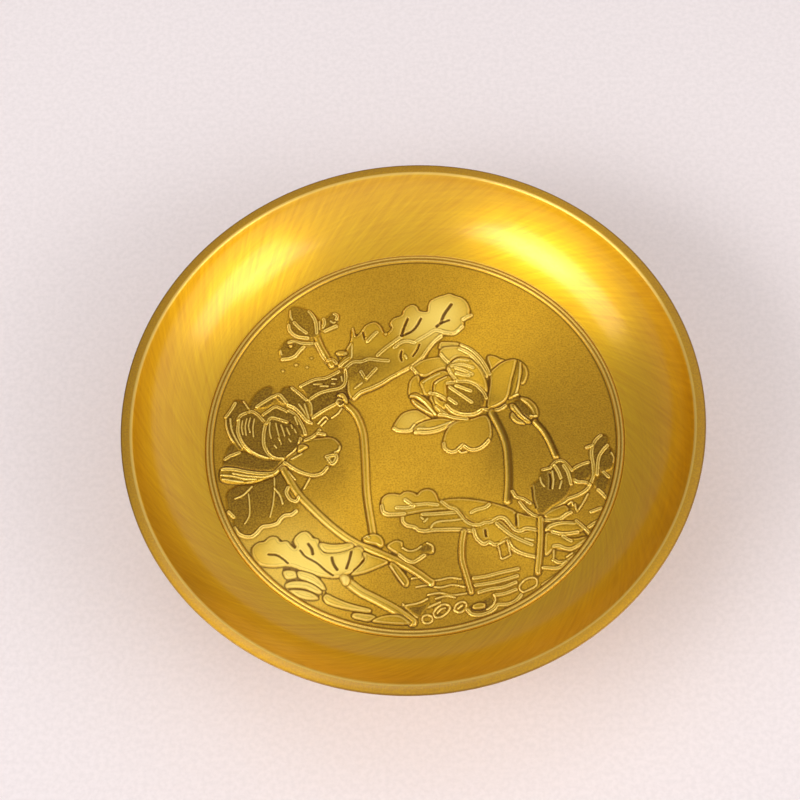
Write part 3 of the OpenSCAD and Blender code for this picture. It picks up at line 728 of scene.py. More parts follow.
LEFT_FLOWER = (
    patch(0.5, (-40.6, 8.6), (-40.4, 11), (-39, 13.4), (-37, 14.9), (-35.6, 15.1), (-34.9, 14), (-35, 12.6),
          (-34.6, 11), (-36, 9.6), (-38.6, 9)),
    patch(0.55, (-34.4, 12.6), (-33.4, 12.9), (-32.6, 14.4), (-31.4, 14.9), (-30, 14.7), (-28.4, 13.2),
          (-27, 11.4), (-26, 9.6), (-25.7, 7), (-25.4, 5.6), (-26.4, 5), (-27.2, 6.4), (-29, 8.6),
          (-31, 9.8), (-33, 10.6)),
    wire((-30.2, 14.6), (-28.6, 13.2), (-26.6, 11.2)),
    rib((-28.4, 10), (-27.2, 8.2), (-26.2, 6.2), (-25.6, 5.2)),
    rib((-27, 10), (-26.4, 8), (-25.7, 5.6)),
    wire((-38.8, 9.6), (-36.5, 11.2), (-34.6, 12.4), (-33.4, 12.8), (-32.4, 11.7), (-31.4, 10.4)),
    patch(0.6, (-37.2, 7.3), (-35, 9.1), (-34.2, 9.6), (-31.8, 8.4), (-29.6, 7.3), (-28, 5.6), (-27.1, 3.6),
          (-26.8, 2.4), (-27.4, 1.4), (-29, 3.4), (-31, 4.8), (-34, 6), (-35.4, 6.6), (-36.6, 5.4)),
    wire((-37.2, 7.4), (-35.6, 8.6), (-34.2, 9.5), (-32.6, 8.9), (-31.2, 8.1)),
    wire((-31, 9.8), (-29.4, 8.9), (-27.8, 7.2), (-26.4, 5.4), (-25.3, 4.9)),
    wire((-30.8, 8.4), (-29.2, 7.2), (-27.9, 5.2), (-27, 3.2), (-26.7, 1.9)),
    patch(0.6, (-46.3, 7.1), (-45.4, 8.8), (-44.8, 10.8), (-44, 11.6), (-42.6, 11), (-41.4, 9.6),
          (-40.9, 8.3), (-42.4, 7.6), (-43.6, 6.4), (-44, 5), (-43.6, 2.6), (-42.4, 0), (-41.8, -1.6),
          (-42.6, -2.2), (-44, -0.6), (-45.4, 1.8), (-46.2, 4.4)),
    rib((-46.4, 7), (-46.2, 4.4), (-45.2, 1.6), (-43.8, -0.6), (-42.6, -2.2)),
    rib((-45.3, 6.4), (-44.8, 3.4), (-43.4, 0.4), (-42, -1.5)),
    wire((-46.4, 7), (-45.4, 8.5), (-44.2, 10.6)),
    rib((-42.2, 11.2), (-40.6, 8.8)),
    patch(0.7, (-43.4, 6), (-42.4, 7.3), (-41, 8), (-39.6, 8.1), (-38.4, 7.2), (-37.2, 5.6), (-36.6, 5),
          (-36.9, 3), (-36.9, 0.6), (-36.6, -1.4), (-35.9, -3), (-34.8, -4.4), (-36.6, -4.5), (-39, -3.5),
          (-41, -1.8), (-42.6, 0.6), (-43.3, 3)),
    wire((-43.4, 6.2), (-42.6, 7.3), (-41.2, 8)),
    wire((-40.6, 8.2), (-39.6, 8.2), (-38.3, 7.2), (-37.2, 5.8), (-36.4, 4.8)),
    wire((-43.2, 6), (-43.3, 3), (-42.4, 0.4), (-41, -1.6), (-39, -3.2), (-37, -4.2), (-35.2, -4.8)),
    vein((-42.2, 5.8), (-42.4, 4), (-42, 2)),
    vein((-41.2, 6.3), (-41.5, 4), (-41.2, 1.8)),
    vein((-40.3, 6.5), (-40.7, 4.4), (-40.3, 2.6)),
    vein((-39.3, 6.2), (-39.6, 4), (-39.4, 1.4)),
    patch(0.78, (-36.3, 4.8), (-35.2, 6.3), (-33, 5.7), (-31, 5.2), (-29.8, 4.4), (-28.4, 2.6), (-27.8, 0.8),
          (-28, -1), (-29, -2.6), (-30.6, -4), (-31.8, -4.7), (-33.6, -4.6), (-35, -3.8), (-36, -2.2),
          (-36.5, 0), (-36.6, 2.6)),
    wire((-36.5, 4.7), (-36.9, 2), (-36.8, -0.6), (-36, -2.6), (-34.8, -4), (-33.4, -4.7), (-32.1, -4.8)),
    wire((-36.2, 5), (-35.2, 6.4), (-33.4, 6), (-31.2, 5.2)),
    wire((-27.8, 0.7), (-28.2, -1.2), (-29.2, -2.8), (-30.8, -4.2)),
    vein((-35.4, 5.2), (-35.5, 3), (-35, 0.8)),
    vein((-34, 4.9), (-33.4, 2.4), (-32.5, -0.8)),
    vein((-32.7, 4.4), (-32.2, 3), (-31.7, 1.4)),
    vein((-31.3, 3.6), (-30.5, 1.8)),
    vein((-30.2, 4.4), (-29.8, 3.4)),
    vein((-29.4, 3.2), (-28.9, 2.2)),
    vein((-33.3, 0.9), (-32.9, 0.2)),
    vein((-30.7, 0.6), (-30.2, -0.2)),
    vein((-34.2, -1), (-33.6, -1.8)),
    rib((-29.4, 6.6), (-28.6, 4.6)),
    patch(0.5, (-45.8, -1.8), (-45, -0.6), (-44.2, -0.4), (-43, -1.8), (-43.2, -2.4), (-45.2, -3.2),
          (-46.2, -3.6)),
    patch(0.55, (-46.4, -4.5), (-44.6, -3.5), (-43, -2.6), (-41.8, -2.4), (-40, -3.2), (-37.6, -4.4),
          (-35, -4.9), (-32.4, -5.1), (-33, -6.3), (-34, -7.6), (-36, -8), (-39, -7.8), (-42, -7.2),
          (-44, -6.8), (-46.4, -6.6)),
    wire((-46.2, -4.4), (-45, -3.6), (-42.8, -2.7)),
    plate(0.6, (-47, -6.9), (-44, -6.8), (-41, -7.5), (-37, -8.1), (-34.2, -8), (-32.6, -6.4), (-31.6, -5.6),
          (-32.4, -7.2), (-33.8, -8.9), (-36, -9.7), (-38.4, -10.6), (-41.6, -11), (-44.4, -10.8),
          (-47, -10)),
    wire((-46.8, -7.1), (-44, -7.2), (-41, -7.9), (-37, -8.5), (-34.3, -8.4), (-33, -7.2), (-31.6, -5.7)),
    rib((-44.2, -8.3), (-41, -9), (-37, -9.4), (-34.4, -9)),
    rib((-47, -8.7), (-44, -9.1), (-41.4, -9.8), (-38.4, -10)),
    rib((-46.6, -9.8), (-44, -10.3), (-41.6, -10.6)),
    plate(0.45, (-31.2, -5.8), (-29.8, -7), (-27.8, -8.3), (-25.6, -9.2), (-24, -9.3), (-22.4, -8.7),
          (-21, -7.2), (-20.6, -6), (-19.4, -5.2), (-18.7, -3.4), (-18, -1.8), (-18.5, -0.6), (-19.6, 0.5),
          (-21, 0.9), (-23, 0.7), (-25, 0.5), (-27, 0.1), (-27.9, -1.2), (-28.4, -2.4), (-30, -4),
          (-31, -4.8)),
    wire((-31.6, -5.6), (-29.8, -7), (-27.4, -8.4), (-24.8, -9.2), (-22.6, -8.8), (-21.2, -7.2)),
    wire((-21.4, -4.3), (-19.2, -3.9), (-19, -5), (-20, -6.2), (-21, -4.9)),
    rib((-19.4, -3.2), (-18.4, -2.6), (-18.2, -1.6)),
    plate(1.0, (-28.2, -1.2), (-27, -1), (-26.1, -1.6), (-27, -2.2), (-28.2, -2.9)),
    rib((-27.4, -3.4), (-28.8, -4.2), (-30, -4.8)),
    wire((-26.7, 0.3), (-25, 1.1), (-23.8, 2.2), (-23.2, 3)),
    wire((-23.6, 2), (-22, 1.8)),
    stem(1.7, (-31.8, -7.4), (-28.4, -13.5), (-25, -17.5), (-20, -22.6), (-14.6, -26.8), (-10, -29),
         (-4, -32), (0, -34.5), (4, -37.6)),
    wire((-30.6, -12.2), (-31, -13.6), (-30, -15.4), (-28.6, -15.9), (-28, -15)),
    rib((-30.6, -8), (-28.9, -10.2)),
    rib((-25.4, -9.9), (-26.7, -12.6)),
)

RIGHT_FLOWER = (
    plate(0.6, (18.2, 21.8), (19, 22.3), (20.2, 22), (21.4, 21.3), (22.3, 21), (21, 20.2), (19.8, 19),
          (19.2, 18), (18.8, 19.6)),
    plate(0.5, (26.5, 20.3), (27.4, 19.4), (28, 17.8), (27.8, 16), (27, 14.4), (26.3, 14.8), (26.6, 16.6),
          (26.8, 18.6)),
    plate(0.6, (25.4, 20.9), (26.3, 20.4), (26.6, 18.6), (26.4, 16.6), (25.8, 14), (25.2, 12.2), (24.6, 11),
          (23.4, 10.4), (23.3, 12), (24, 14.6), (24.8, 17.6), (25.2, 19.6)),
    rib((26.4, 20.2), (26.1, 17.4), (25.6, 13.4), (24.9, 11)),
    plate(0.7, (19, 17.4), (19.8, 18.6), (21.4, 20), (23.2, 20.9), (25.2, 21.1), (25.1, 19.8), (24.6, 17.6),
          (24, 15.4), (23.5, 13), (23, 11), (22, 9.6), (20, 8.4), (18.2, 8), (18.2, 10), (18.6, 12.6),
          (18.9, 15)),
    plate(0.65, (6.5, 24.6), (6.4, 25.6), (6.8, 26.3), (8.6, 26.3), (10.6, 26.1), (11.2, 25.8), (10.8, 25.2),
          (9, 24.8)),
    plate(0.6, (-0.2, 19.4), (0.8, 20.4), (2.4, 21.4), (4.4, 21.9), (6.5, 22.1), (7.4, 21.2), (8.4, 20.2),
          (8, 19.2), (7, 19), (5, 18.2), (3, 17.1), (1, 17.6), (0.4, 18)),
    wire((-0.5, 19.3), (0.8, 17.7)),
    plate(0.65, (6.5, 24), (7.6, 24.7), (9.6, 24.9), (11, 25), (12.2, 25.5), (13.6, 24.6), (15.4, 23),
          (16.9, 20.9), (18, 18.7), (18.4, 17.4), (17.8, 16.4), (17, 17.4), (16.4, 18.8), (15.4, 20.4),
          (14, 21.7), (12, 22.2), (10.4, 22.1), (9.4, 21.4), (8.8, 20.4), (7.6, 21.6), (6.6, 23)),
    wire((6.7, 22.9), (7.7, 21.5), (8.8, 20.4)),
    wire((11.8, 25.5), (14.2, 24.1), (16.4, 21.8), (17.9, 19.2), (18.7, 17.2)),
    wire((11.4, 24.3), (13.8, 22.9), (15.8, 20.6), (17.3, 18), (17.9, 16.6)),
    plate(0.55, (-1.1, 12), (-1.2, 14), (-0.9, 15.6), (0, 16.8), (1, 17.2), (1.3, 16), (1.5, 14.6),
          (2, 13.2), (2.6, 11.9), (1, 12.2)),
    plate(0.62, (2.8, 12), (2.1, 13.6), (1.6, 15.4), (3.2, 16.5), (5.2, 17.7), (7.2, 18.3), (8.6, 17.8),
          (8, 17), (6, 16.2), (4.7, 15), (4.5, 13), (4.4, 12.2)),
    rib((2.2, 15.2), (4, 16.4), (6.4, 17.6)),
    plate(0.68, (5, 12), (4.9, 14.6), (5.6, 15.6), (7.4, 16.5), (8.6, 16.9), (9.7, 15.4), (8, 15), (7.9, 13),
          (8, 10.8), (6.6, 11)),
    rib((5.2, 14.8), (6.2, 15.7), (8, 16.6)),
    plate(0.75, (8.2, 19.1), (9.2, 20.4), (10.4, 21.6), (12, 21.9), (14, 21.4), (15.6, 19.8), (16.8, 17.8),
          (17.6, 15.6), (18, 13), (17.6, 12.6), (16.2, 14.2), (14, 15.4), (11, 15.9), (10.1, 15.3),
          (9.2, 17.2)),
    wire((8.5, 18.8), (9.5, 16.9), (10.6, 15.6)),
    rib((9.6, 20.6), (11, 21.3), (13.6, 21)),
    wire((9.4, 19.6), (12, 19.9), (14.6, 19)),
    wire((10.4, 19), (12.4, 18.3), (14.4, 17.2)),
    wire((10.5, 17.6), (12, 17.1), (13.6, 16.8)),
    plate(0.65, (-5.1, 2.9), (-4.2, 5), (-2.8, 6.8), (-1.2, 7.5), (0.6, 7.7), (2, 6.9), (3.6, 5.8),
          (3.9, 5.4), (2.4, 5), (0.8, 4.2), (-0.2, 3.2), (-0.8, 2.2), (-2, 2), (-3.8, 2.1)),
    wire((-5, 2.9), (-3.7, 2.2), (-1, 2.2), (0.2, 3.5)),
    plate(0.7, (0.1, 2.2), (0.7, 3.6), (2, 4.4), (4, 5), (6.5, 5.3), (8.5, 5), (9.9, 4.6), (9, 3.6),
          (7.4, 2.6), (5.4, 1.9), (3, 1.5), (0.6, 1.5)),
    wire((0.3, 1.7), (3, 1.6), (5.4, 2), (7.4, 2.8), (9.9, 4.4)),
    rib((0.8, 2.7), (4, 2.6), (6.5, 3.3), (9, 4.3)),
    plate(0.5, (10.2, 4.3), (8.6, 3), (7.6, 1), (7.2, -1), (7.4, -2.7), (8.6, -3.6), (10, -3.6),
          (10.9, -2.8), (11.8, -1.9), (12.6, -2.4), (13.4, -3.1), (14.6, -3.3), (16, -2.9), (17.2, -1.9),
          (18.2, -0.8), (18.8, 0.6), (18.8, 2.6), (18.4, 4.6), (17.6, 5.8), (16.4, 5.8), (14, 5),
          (11.6, 4.8)),
    wire((7.2, -1.4), (7.5, -2.8), (8.8, -3.7), (10, -3.6), (11, -2.8), (11.9, -1.9)),
    wire((12.3, -2.3), (13.4, -3.1), (14.8, -3.3), (16.2, -2.8), (17.4, -1.8), (18.2, -0.8)),
    rib((10.9, -3.4), (11.6, -3.9), (12.8, -3.6)),
    plate(0.75, (-0.6, 10.4), (0.2, 9.2), (1.6, 8), (3.4, 6.8), (4.8, 6.1), (4.4, 7), (2.6, 8.6), (0.8, 10),
          (-0.3, 10.9)),
    plate(0.8, (-1, 11.3), (0.2, 11.3), (1.8, 10.6), (3.2, 9.2), (4.4, 7.6), (5.6, 6.2), (5.4, 7.6),
          (4, 9.6), (2.4, 11.2), (0.6, 12.2), (-0.8, 11.9)),
    rib((-0.8, 11.6), (0.6, 11.3), (2.4, 9.9), (4, 7.9), (5.2, 6.4)),
    rib((-0.4, 10.3), (0.5, 9.1), (2.4, 7.7), (4.4, 6.4)),
    plate(0.85, (3.9, 11), (4.4, 10), (5, 8.4), (6, 7), (6.8, 6.3), (6.4, 7.8), (5.6, 9.4), (4.9, 11.2),
          (4.4, 12)),
    plate(0.85, (5, 11.8), (6.4, 10.2), (7.6, 9.8), (8, 9.2), (7.4, 8), (6.4, 8.6), (5.2, 10)),
    wire((4, 12.3), (5.6, 11.9), (7.8, 10.6)),
    wire((5.6, 8.6), (6.8, 7.4), (8, 6.6)),
    wire((6.2, 6.4), (8, 6.2), (10, 5.5), (13, 5.2)),
    patch(0.85, (8.2, 14.8), (9, 14.9), (10.4, 14.9), (12, 15.3), (14, 14.9), (15.8, 13.8), (17, 12.4),
          (17.5, 10.8), (17.4, 9.4), (16.8, 7.9), (15.4, 6.9), (13.4, 6.4), (11.4, 6.6), (9.7, 7.4),
          (8.6, 8.6), (8.1, 9.8), (8.2, 12.4)),
    wire((8.8, 13.8), (11.2, 11.9), (14.2, 9.5)),
    wire((10.4, 14.2), (12, 13.5), (14, 12.6)),
    wire((8.6, 10.7), (10.4, 9.2)),
    wire((8, 8.9), (9.2, 7.4), (11, 6.5), (13.2, 6.2), (15.2, 6.5), (16.8, 7.6)),
    wire((8.3, 14.9), (10.4, 15.2)),
    wire((10.8, 15.4), (13.4, 15.2), (15.4, 14.2), (17, 12.4), (17.8, 10.7)),
    wire((17.2, 7.7), (19, 7.4), (21, 7.6), (22.4, 8.6)),
    stem(1.6, (19, 6.8), (21, 2.4), (22.4, -2), (22.8, -7), (22.8, -12), (22.4, -17)),
    # Painted shade along the right-hand side of the stem
    painted_shade(0.9, (19.6, 6.7), (21.4, 2.6), (22.8, -1.9), (23.2, -7), (23.2, -12), (22.8, -16.6)),
)

SIDE_BUD = (
    stem(1.4, (29.6, 4), (31.6, 1.4), (33.2, -2), (34.4, -5.4)),
    # Painted shade along the right-hand side of the stem
    painted_shade(0.8, (30.1, 4.1), (32, 1.6), (33.6, -1.8), (34.7, -5)),
    plate(0.55, (26.2, 10.6), (27.6, 10.4), (29, 9.4), (30, 8), (30.3, 6.6), (30.2, 5.4), (29.4, 5.8),
          (28.8, 7.4), (27.8, 8.8), (26.6, 9.8)),
    patch(0.6, (24.8, 9.6), (25.8, 9.8), (27.2, 8.8), (28.4, 7.2), (29, 5.6), (28.4, 4.9), (27.2, 5.6),
          (26, 7), (25.2, 8.2)),
    plate(0.75, (23.6, 8.8), (24.6, 8.8), (25.6, 7.4), (26.8, 5.6), (28.4, 4.2), (28, 3.6), (27, 4),
          (25.6, 5.4), (24.4, 7), (23.8, 7.8)),
    rib((24.6, 8.2), (26, 6.1), (28, 4.2)),
    plate(0.65, (24, 6.6), (23.7, 5.6), (24.4, 4.4), (25.6, 3.6), (27, 3.4), (26.4, 4.2), (25.2, 5.2),
          (24.4, 6.4)),
    rib((28.4, 5.6), (29.9, 5.5)),
    rib((24.5, 11), (25.6, 11.6)),
)

LOWER_LEAVES = (
    plate(0.8, (-38.9, -29), (-38.6, -27.6), (-37.4, -26.6), (-36, -26.4), (-35, -25.4), (-34, -25.1),
          (-33, -25.4), (-32.2, -26.5), (-30.6, -26.4), (-29.6, -27.6), (-28.6, -28.4), (-28.2, -27.6),
          (-28.8, -26.4), (-28.4, -25.2), (-27.2, -24.2), (-26, -24), (-25, -24.8), (-24.4, -25.7),
          (-23.2, -26), (-22.8, -27.2), (-22, -29), (-21.2, -29.6), (-18, -29.5), (-16, -28.8), (-14, -28.2),
          (-12.6, -28.6), (-12, -30), (-12.2, -31.4), (-13, -32.6), (-14.4, -34.2), (-16, -34.9),
          (-18.4, -35.8), (-22, -35.4), (-26, -34), (-29.8, -32.6), (-33.6, -32.8), (-36.4, -32.4),
          (-38, -31.2)),
    groove(0.6, (-34.9, -29.7), (-33, -29.9), (-31.4, -30.9), (-30.2, -32)),
    groove(0.6, (-27.3, -28.8), (-26, -30.4), (-23.4, -32), (-21.2, -34), (-19.4, -35.3)),
    groove(0.75, (-25.4, -27.2), (-24.6, -28.4), (-24.3, -29.8)),
    groove(0.75, (-19.7, -30.8), (-19.3, -32.4), (-18.4, -33.9)),
    groove(0.7, (-15.1, -29.4), (-15.6, -31.6), (-16.2, -33.6)),
    groove(0.7, (-12.2, -31.8), (-13.2, -33), (-14.3, -34.1)),
    plate(0.75, (-22.6, -27), (-20, -27.4), (-17.6, -27.4), (-15.6, -27.2), (-14.6, -28), (-16.4, -28.8),
          (-18.4, -29.3), (-20.8, -29.3), (-22, -28.6)),
    plate(0.7, (-12, -29.6), (-11.8, -31.4), (-12.6, -32.6), (-14.4, -34.4), (-14.8, -35.2), (-12, -34.7),
          (-9, -33.5), (-6.4, -32.2), (-8, -31.2), (-10.2, -30.4)),
    plate(0.6, (-31.2, -34.2), (-30, -33.9), (-28.6, -34.2), (-28.2, -35.2), (-28.4, -35.6), (-30.4, -35.8)),
    plate(0.65, (-27.7, -34.2), (-26, -34.4), (-24, -35.2), (-22.4, -36.6), (-21.4, -38.2), (-21.3, -38.8),
          (-22.2, -38.6), (-23.4, -37.6), (-25.4, -36.4), (-27.4, -35.6)),
    plate(0.65, (-30.6, -37.4), (-29.4, -36.8), (-27.4, -36.7), (-25.4, -37.1), (-23.6, -38), (-22.2, -39.2),
          (-22.6, -39.8), (-24, -39.2), (-25.8, -38.4), (-28, -38.1), (-30.2, -38.1)),
    plate(0.6, (-29.6, -39), (-28, -38.9), (-26, -39.2), (-24, -40), (-22.9, -41), (-24, -41.3),
          (-25.6, -41.1), (-27.6, -40.4)),
    plate(0.65, (-21.6, -40.9), (-20.8, -40.1), (-19, -41), (-16.4, -42.2), (-13.4, -43.2), (-10.6, -44),
          (-10.8, -44.7), (-13.6, -44.3), (-17, -43.6), (-19.6, -42.8), (-21, -42)),
    plate(0.55, (-14.7, -45.4), (-14, -45), (-12, -45.2), (-9.8, -45.6), (-9.4, -46.2), (-11, -46.9),
          (-12.6, -46.5), (-14.2, -46.1)),
    stem(2.2, (-15.4, -37.4), (-12.6, -39.6), (-9, -41.6), (-5, -44), (-2, -46.2), (-0.5, -47.4)),
    pebble(1.0, (-17.8, -35.8), (-16.8, -35.2), (-15.8, -35.6), (-15.4, -36.6), (-16, -37.8), (-17, -37.6)),
    plate(0.6, (-9.8, -47), (-8.6, -46.2), (-6, -45.6), (-3.6, -45.8), (-2, -46.8), (-1.2, -47.7),
          (-4, -47.8), (-7, -47.5)),
)

MIDDLE = (
    plate(0.5, (-6.4, -28.2), (-5.2, -27), (-4, -26.7), (-3, -27.2), (-2.8, -28.4), (-1, -29.4), (0.6, -29),
          (1.8, -28), (3, -27.5), (4.2, -28), (4.7, -29), (4.4, -30), (3.2, -30), (2, -30.6), (0.8, -31.8),
          (-0.4, -32.4), (-2, -31.8), (-3.4, -30.8), (-3.8, -30.2)),
    patch(0.3, (0.8, -28.9), (2.2, -28.2), (3.4, -28), (4, -28.8), (3.4, -29.6), (2, -29.8)),
    rib((-2.8, -28.6), (-1.2, -29.4), (0.6, -29), (1.6, -28.2)),
    rib((3, -27.4), (4.3, -28.2), (4.4, -29.6)),
    wire((-3.6, -30.4), (-2, -31.7), (-0.4, -32.3), (1, -31.6), (2.4, -30.6)),
    plate(0.6, (-5.8, -32.6), (-4.6, -32.8), (-2.4, -35.4), (-1.4, -37.4), (-2.2, -38.4), (-4.2, -36)),
    rib((-5.9, -33), (-4.2, -35.6), (-2.6, -38)),
    plate(0.9, (-12.4, -26.2), (-11.4, -25.3), (-10, -25), (-8.8, -25.2), (-7.8, -26.2), (-7.4, -27.6),
          (-8, -28.2), (-9, -27.6), (-10, -27.4), (-11.4, -27)),
    rib((-12.2, -26), (-11.4, -25.4), (-10.8, -26)),
    stem(1.4, (11.9, -24.8), (11.4, -28), (11.4, -32), (12.4, -36), (13.4, -40)),
)

CENTRE_LEAF = (
    plate(0.42, (7, -16.6), (9, -16.2), (12, -16.2), (15, -16.6), (18, -17.2), (20.6, -18), (23, -19),
          (24.2, -20), (24.4, -22), (24.5, -24), (23.4, -23.6), (22.4, -22), (21, -21), (19.4, -21.5),
          (17, -22), (15.4, -22.6), (13.4, -22), (11.8, -20.4), (10.2, -18.8), (8, -17.6)),
    wire((13.7, -19.8), (15, -19.1), (17, -18.6), (18, -17.8)),
    plate(0.5, (24.8, -20.2), (26.6, -20.8), (29.2, -21.6), (29.4, -24), (27, -24), (25, -24.4),
          (24.8, -22)),
    plate(0.5, (-2.9, -20.6), (-3, -21.6), (-2.2, -22.6), (-1, -23.2), (0, -23.4), (0.8, -24.1),
          (2.4, -24.4), (3.8, -24), (5, -24.3), (8, -24), (11.4, -24.1), (13.6, -24.6), (14.4, -23),
          (12.4, -21.6), (10.8, -19.6), (8.4, -18.4), (4, -18.6), (0, -18.8)),
    wire((-2.9, -20.8), (-2.8, -21.8), (-1.8, -22.8), (0, -23.3), (1, -24.1), (2.6, -24.4), (4, -24.2),
         (8, -24.1), (11.4, -24.2), (13.6, -24.6)),
    plate(0.7, (-8, -16.9), (-7.7, -15.6), (-6.6, -14.7), (-5, -14.5), (-3.4, -14.8), (-2.6, -14.2),
          (-1.4, -14), (0, -14.5), (0.7, -15), (1.6, -14), (3, -13.5), (4.4, -13.9), (5.2, -14.9),
          (5.8, -16.4), (6.8, -17.4), (8.4, -18.6), (5.4, -18.9), (2, -19.2), (-2, -19.9), (-3.6, -20),
          (-6, -19.9), (-7.4, -19.2), (-7.8, -18)),
    wire((-7.9, -17.6), (-7.6, -19.1), (-6.4, -19.9), (-4, -19.9), (-2.4, -19.8)),
    wire((-2.2, -16.2), (-1.2, -17), (-0.2, -17.6), (3, -17.4), (5.6, -17.7)),
    wire((-4.2, -18.2), (-2, -18.3), (-0.2, -18)),
    wire((2, -20), (5, -20), (9.8, -19.7)),
    rib((1.6, -20.8), (2.2, -21.4)),
    rib((2.4, -22), (3.2, -21.2)),
    rib((4, -23.6), (4.6, -22.6), (6, -22), (9, -21.8), (11.4, -21.5)),
    plate(0.55, (14.4, -24), (14.6, -25.4), (15.4, -27), (16.4, -27.8), (17.6, -27.6), (18.6, -28.2),
          (20, -28), (21.2, -27), (22.2, -26.6), (22.8, -28), (24, -29.6), (26, -30.8), (28, -31.4),
          (29, -31.6), (29.2, -25.2), (27, -25), (25, -25.4), (23.4, -24.8), (21.8, -23), (20.4, -21.9),
          (18.6, -22.4), (16.6, -23.2)),
    wire((6.6, -16.8), (8.2, -18.2), (9.9, -18.9), (11, -20.2), (12.2, -21.8), (13.6, -22.8), (15.6, -23),
         (16.8, -22.5), (18.4, -22.3), (19.6, -21.6), (20.6, -21.2), (21.8, -21.6), (22.8, -23), (24, -24.4),
         (25.4, -24.8), (26.8, -24.2), (29.2, -24.6)),
    wire((19.7, -22.7), (21.2, -24.2), (23.4, -26), (25.8, -27.4), (28, -28.4)),
    wire((14.2, -24.2), (14.6, -26), (15.6, -27.4), (16.8, -28), (17.8, -27.5), (19, -28.2), (20, -28.1)),
    wire((22.4, -27.4), (23.2, -29), (24.4, -30), (26.4, -30.9), (29, -31.6)),
    rib((26.4, -26.8), (28.4, -27.3)),
    groove(0.6, (17, -24.4), (17.2, -26)),
    groove(0.5, (24.3, -20.4), (24.4, -23.2)),
    rib((20, -28.4), (20.4, -30.2), (20.8, -31.8), (22.7, -31)),
    rib((20, -28.2), (21.6, -27.2), (22.2, -27)),
    rib((22.2, -27.2), (22.9, -30.9)),
)

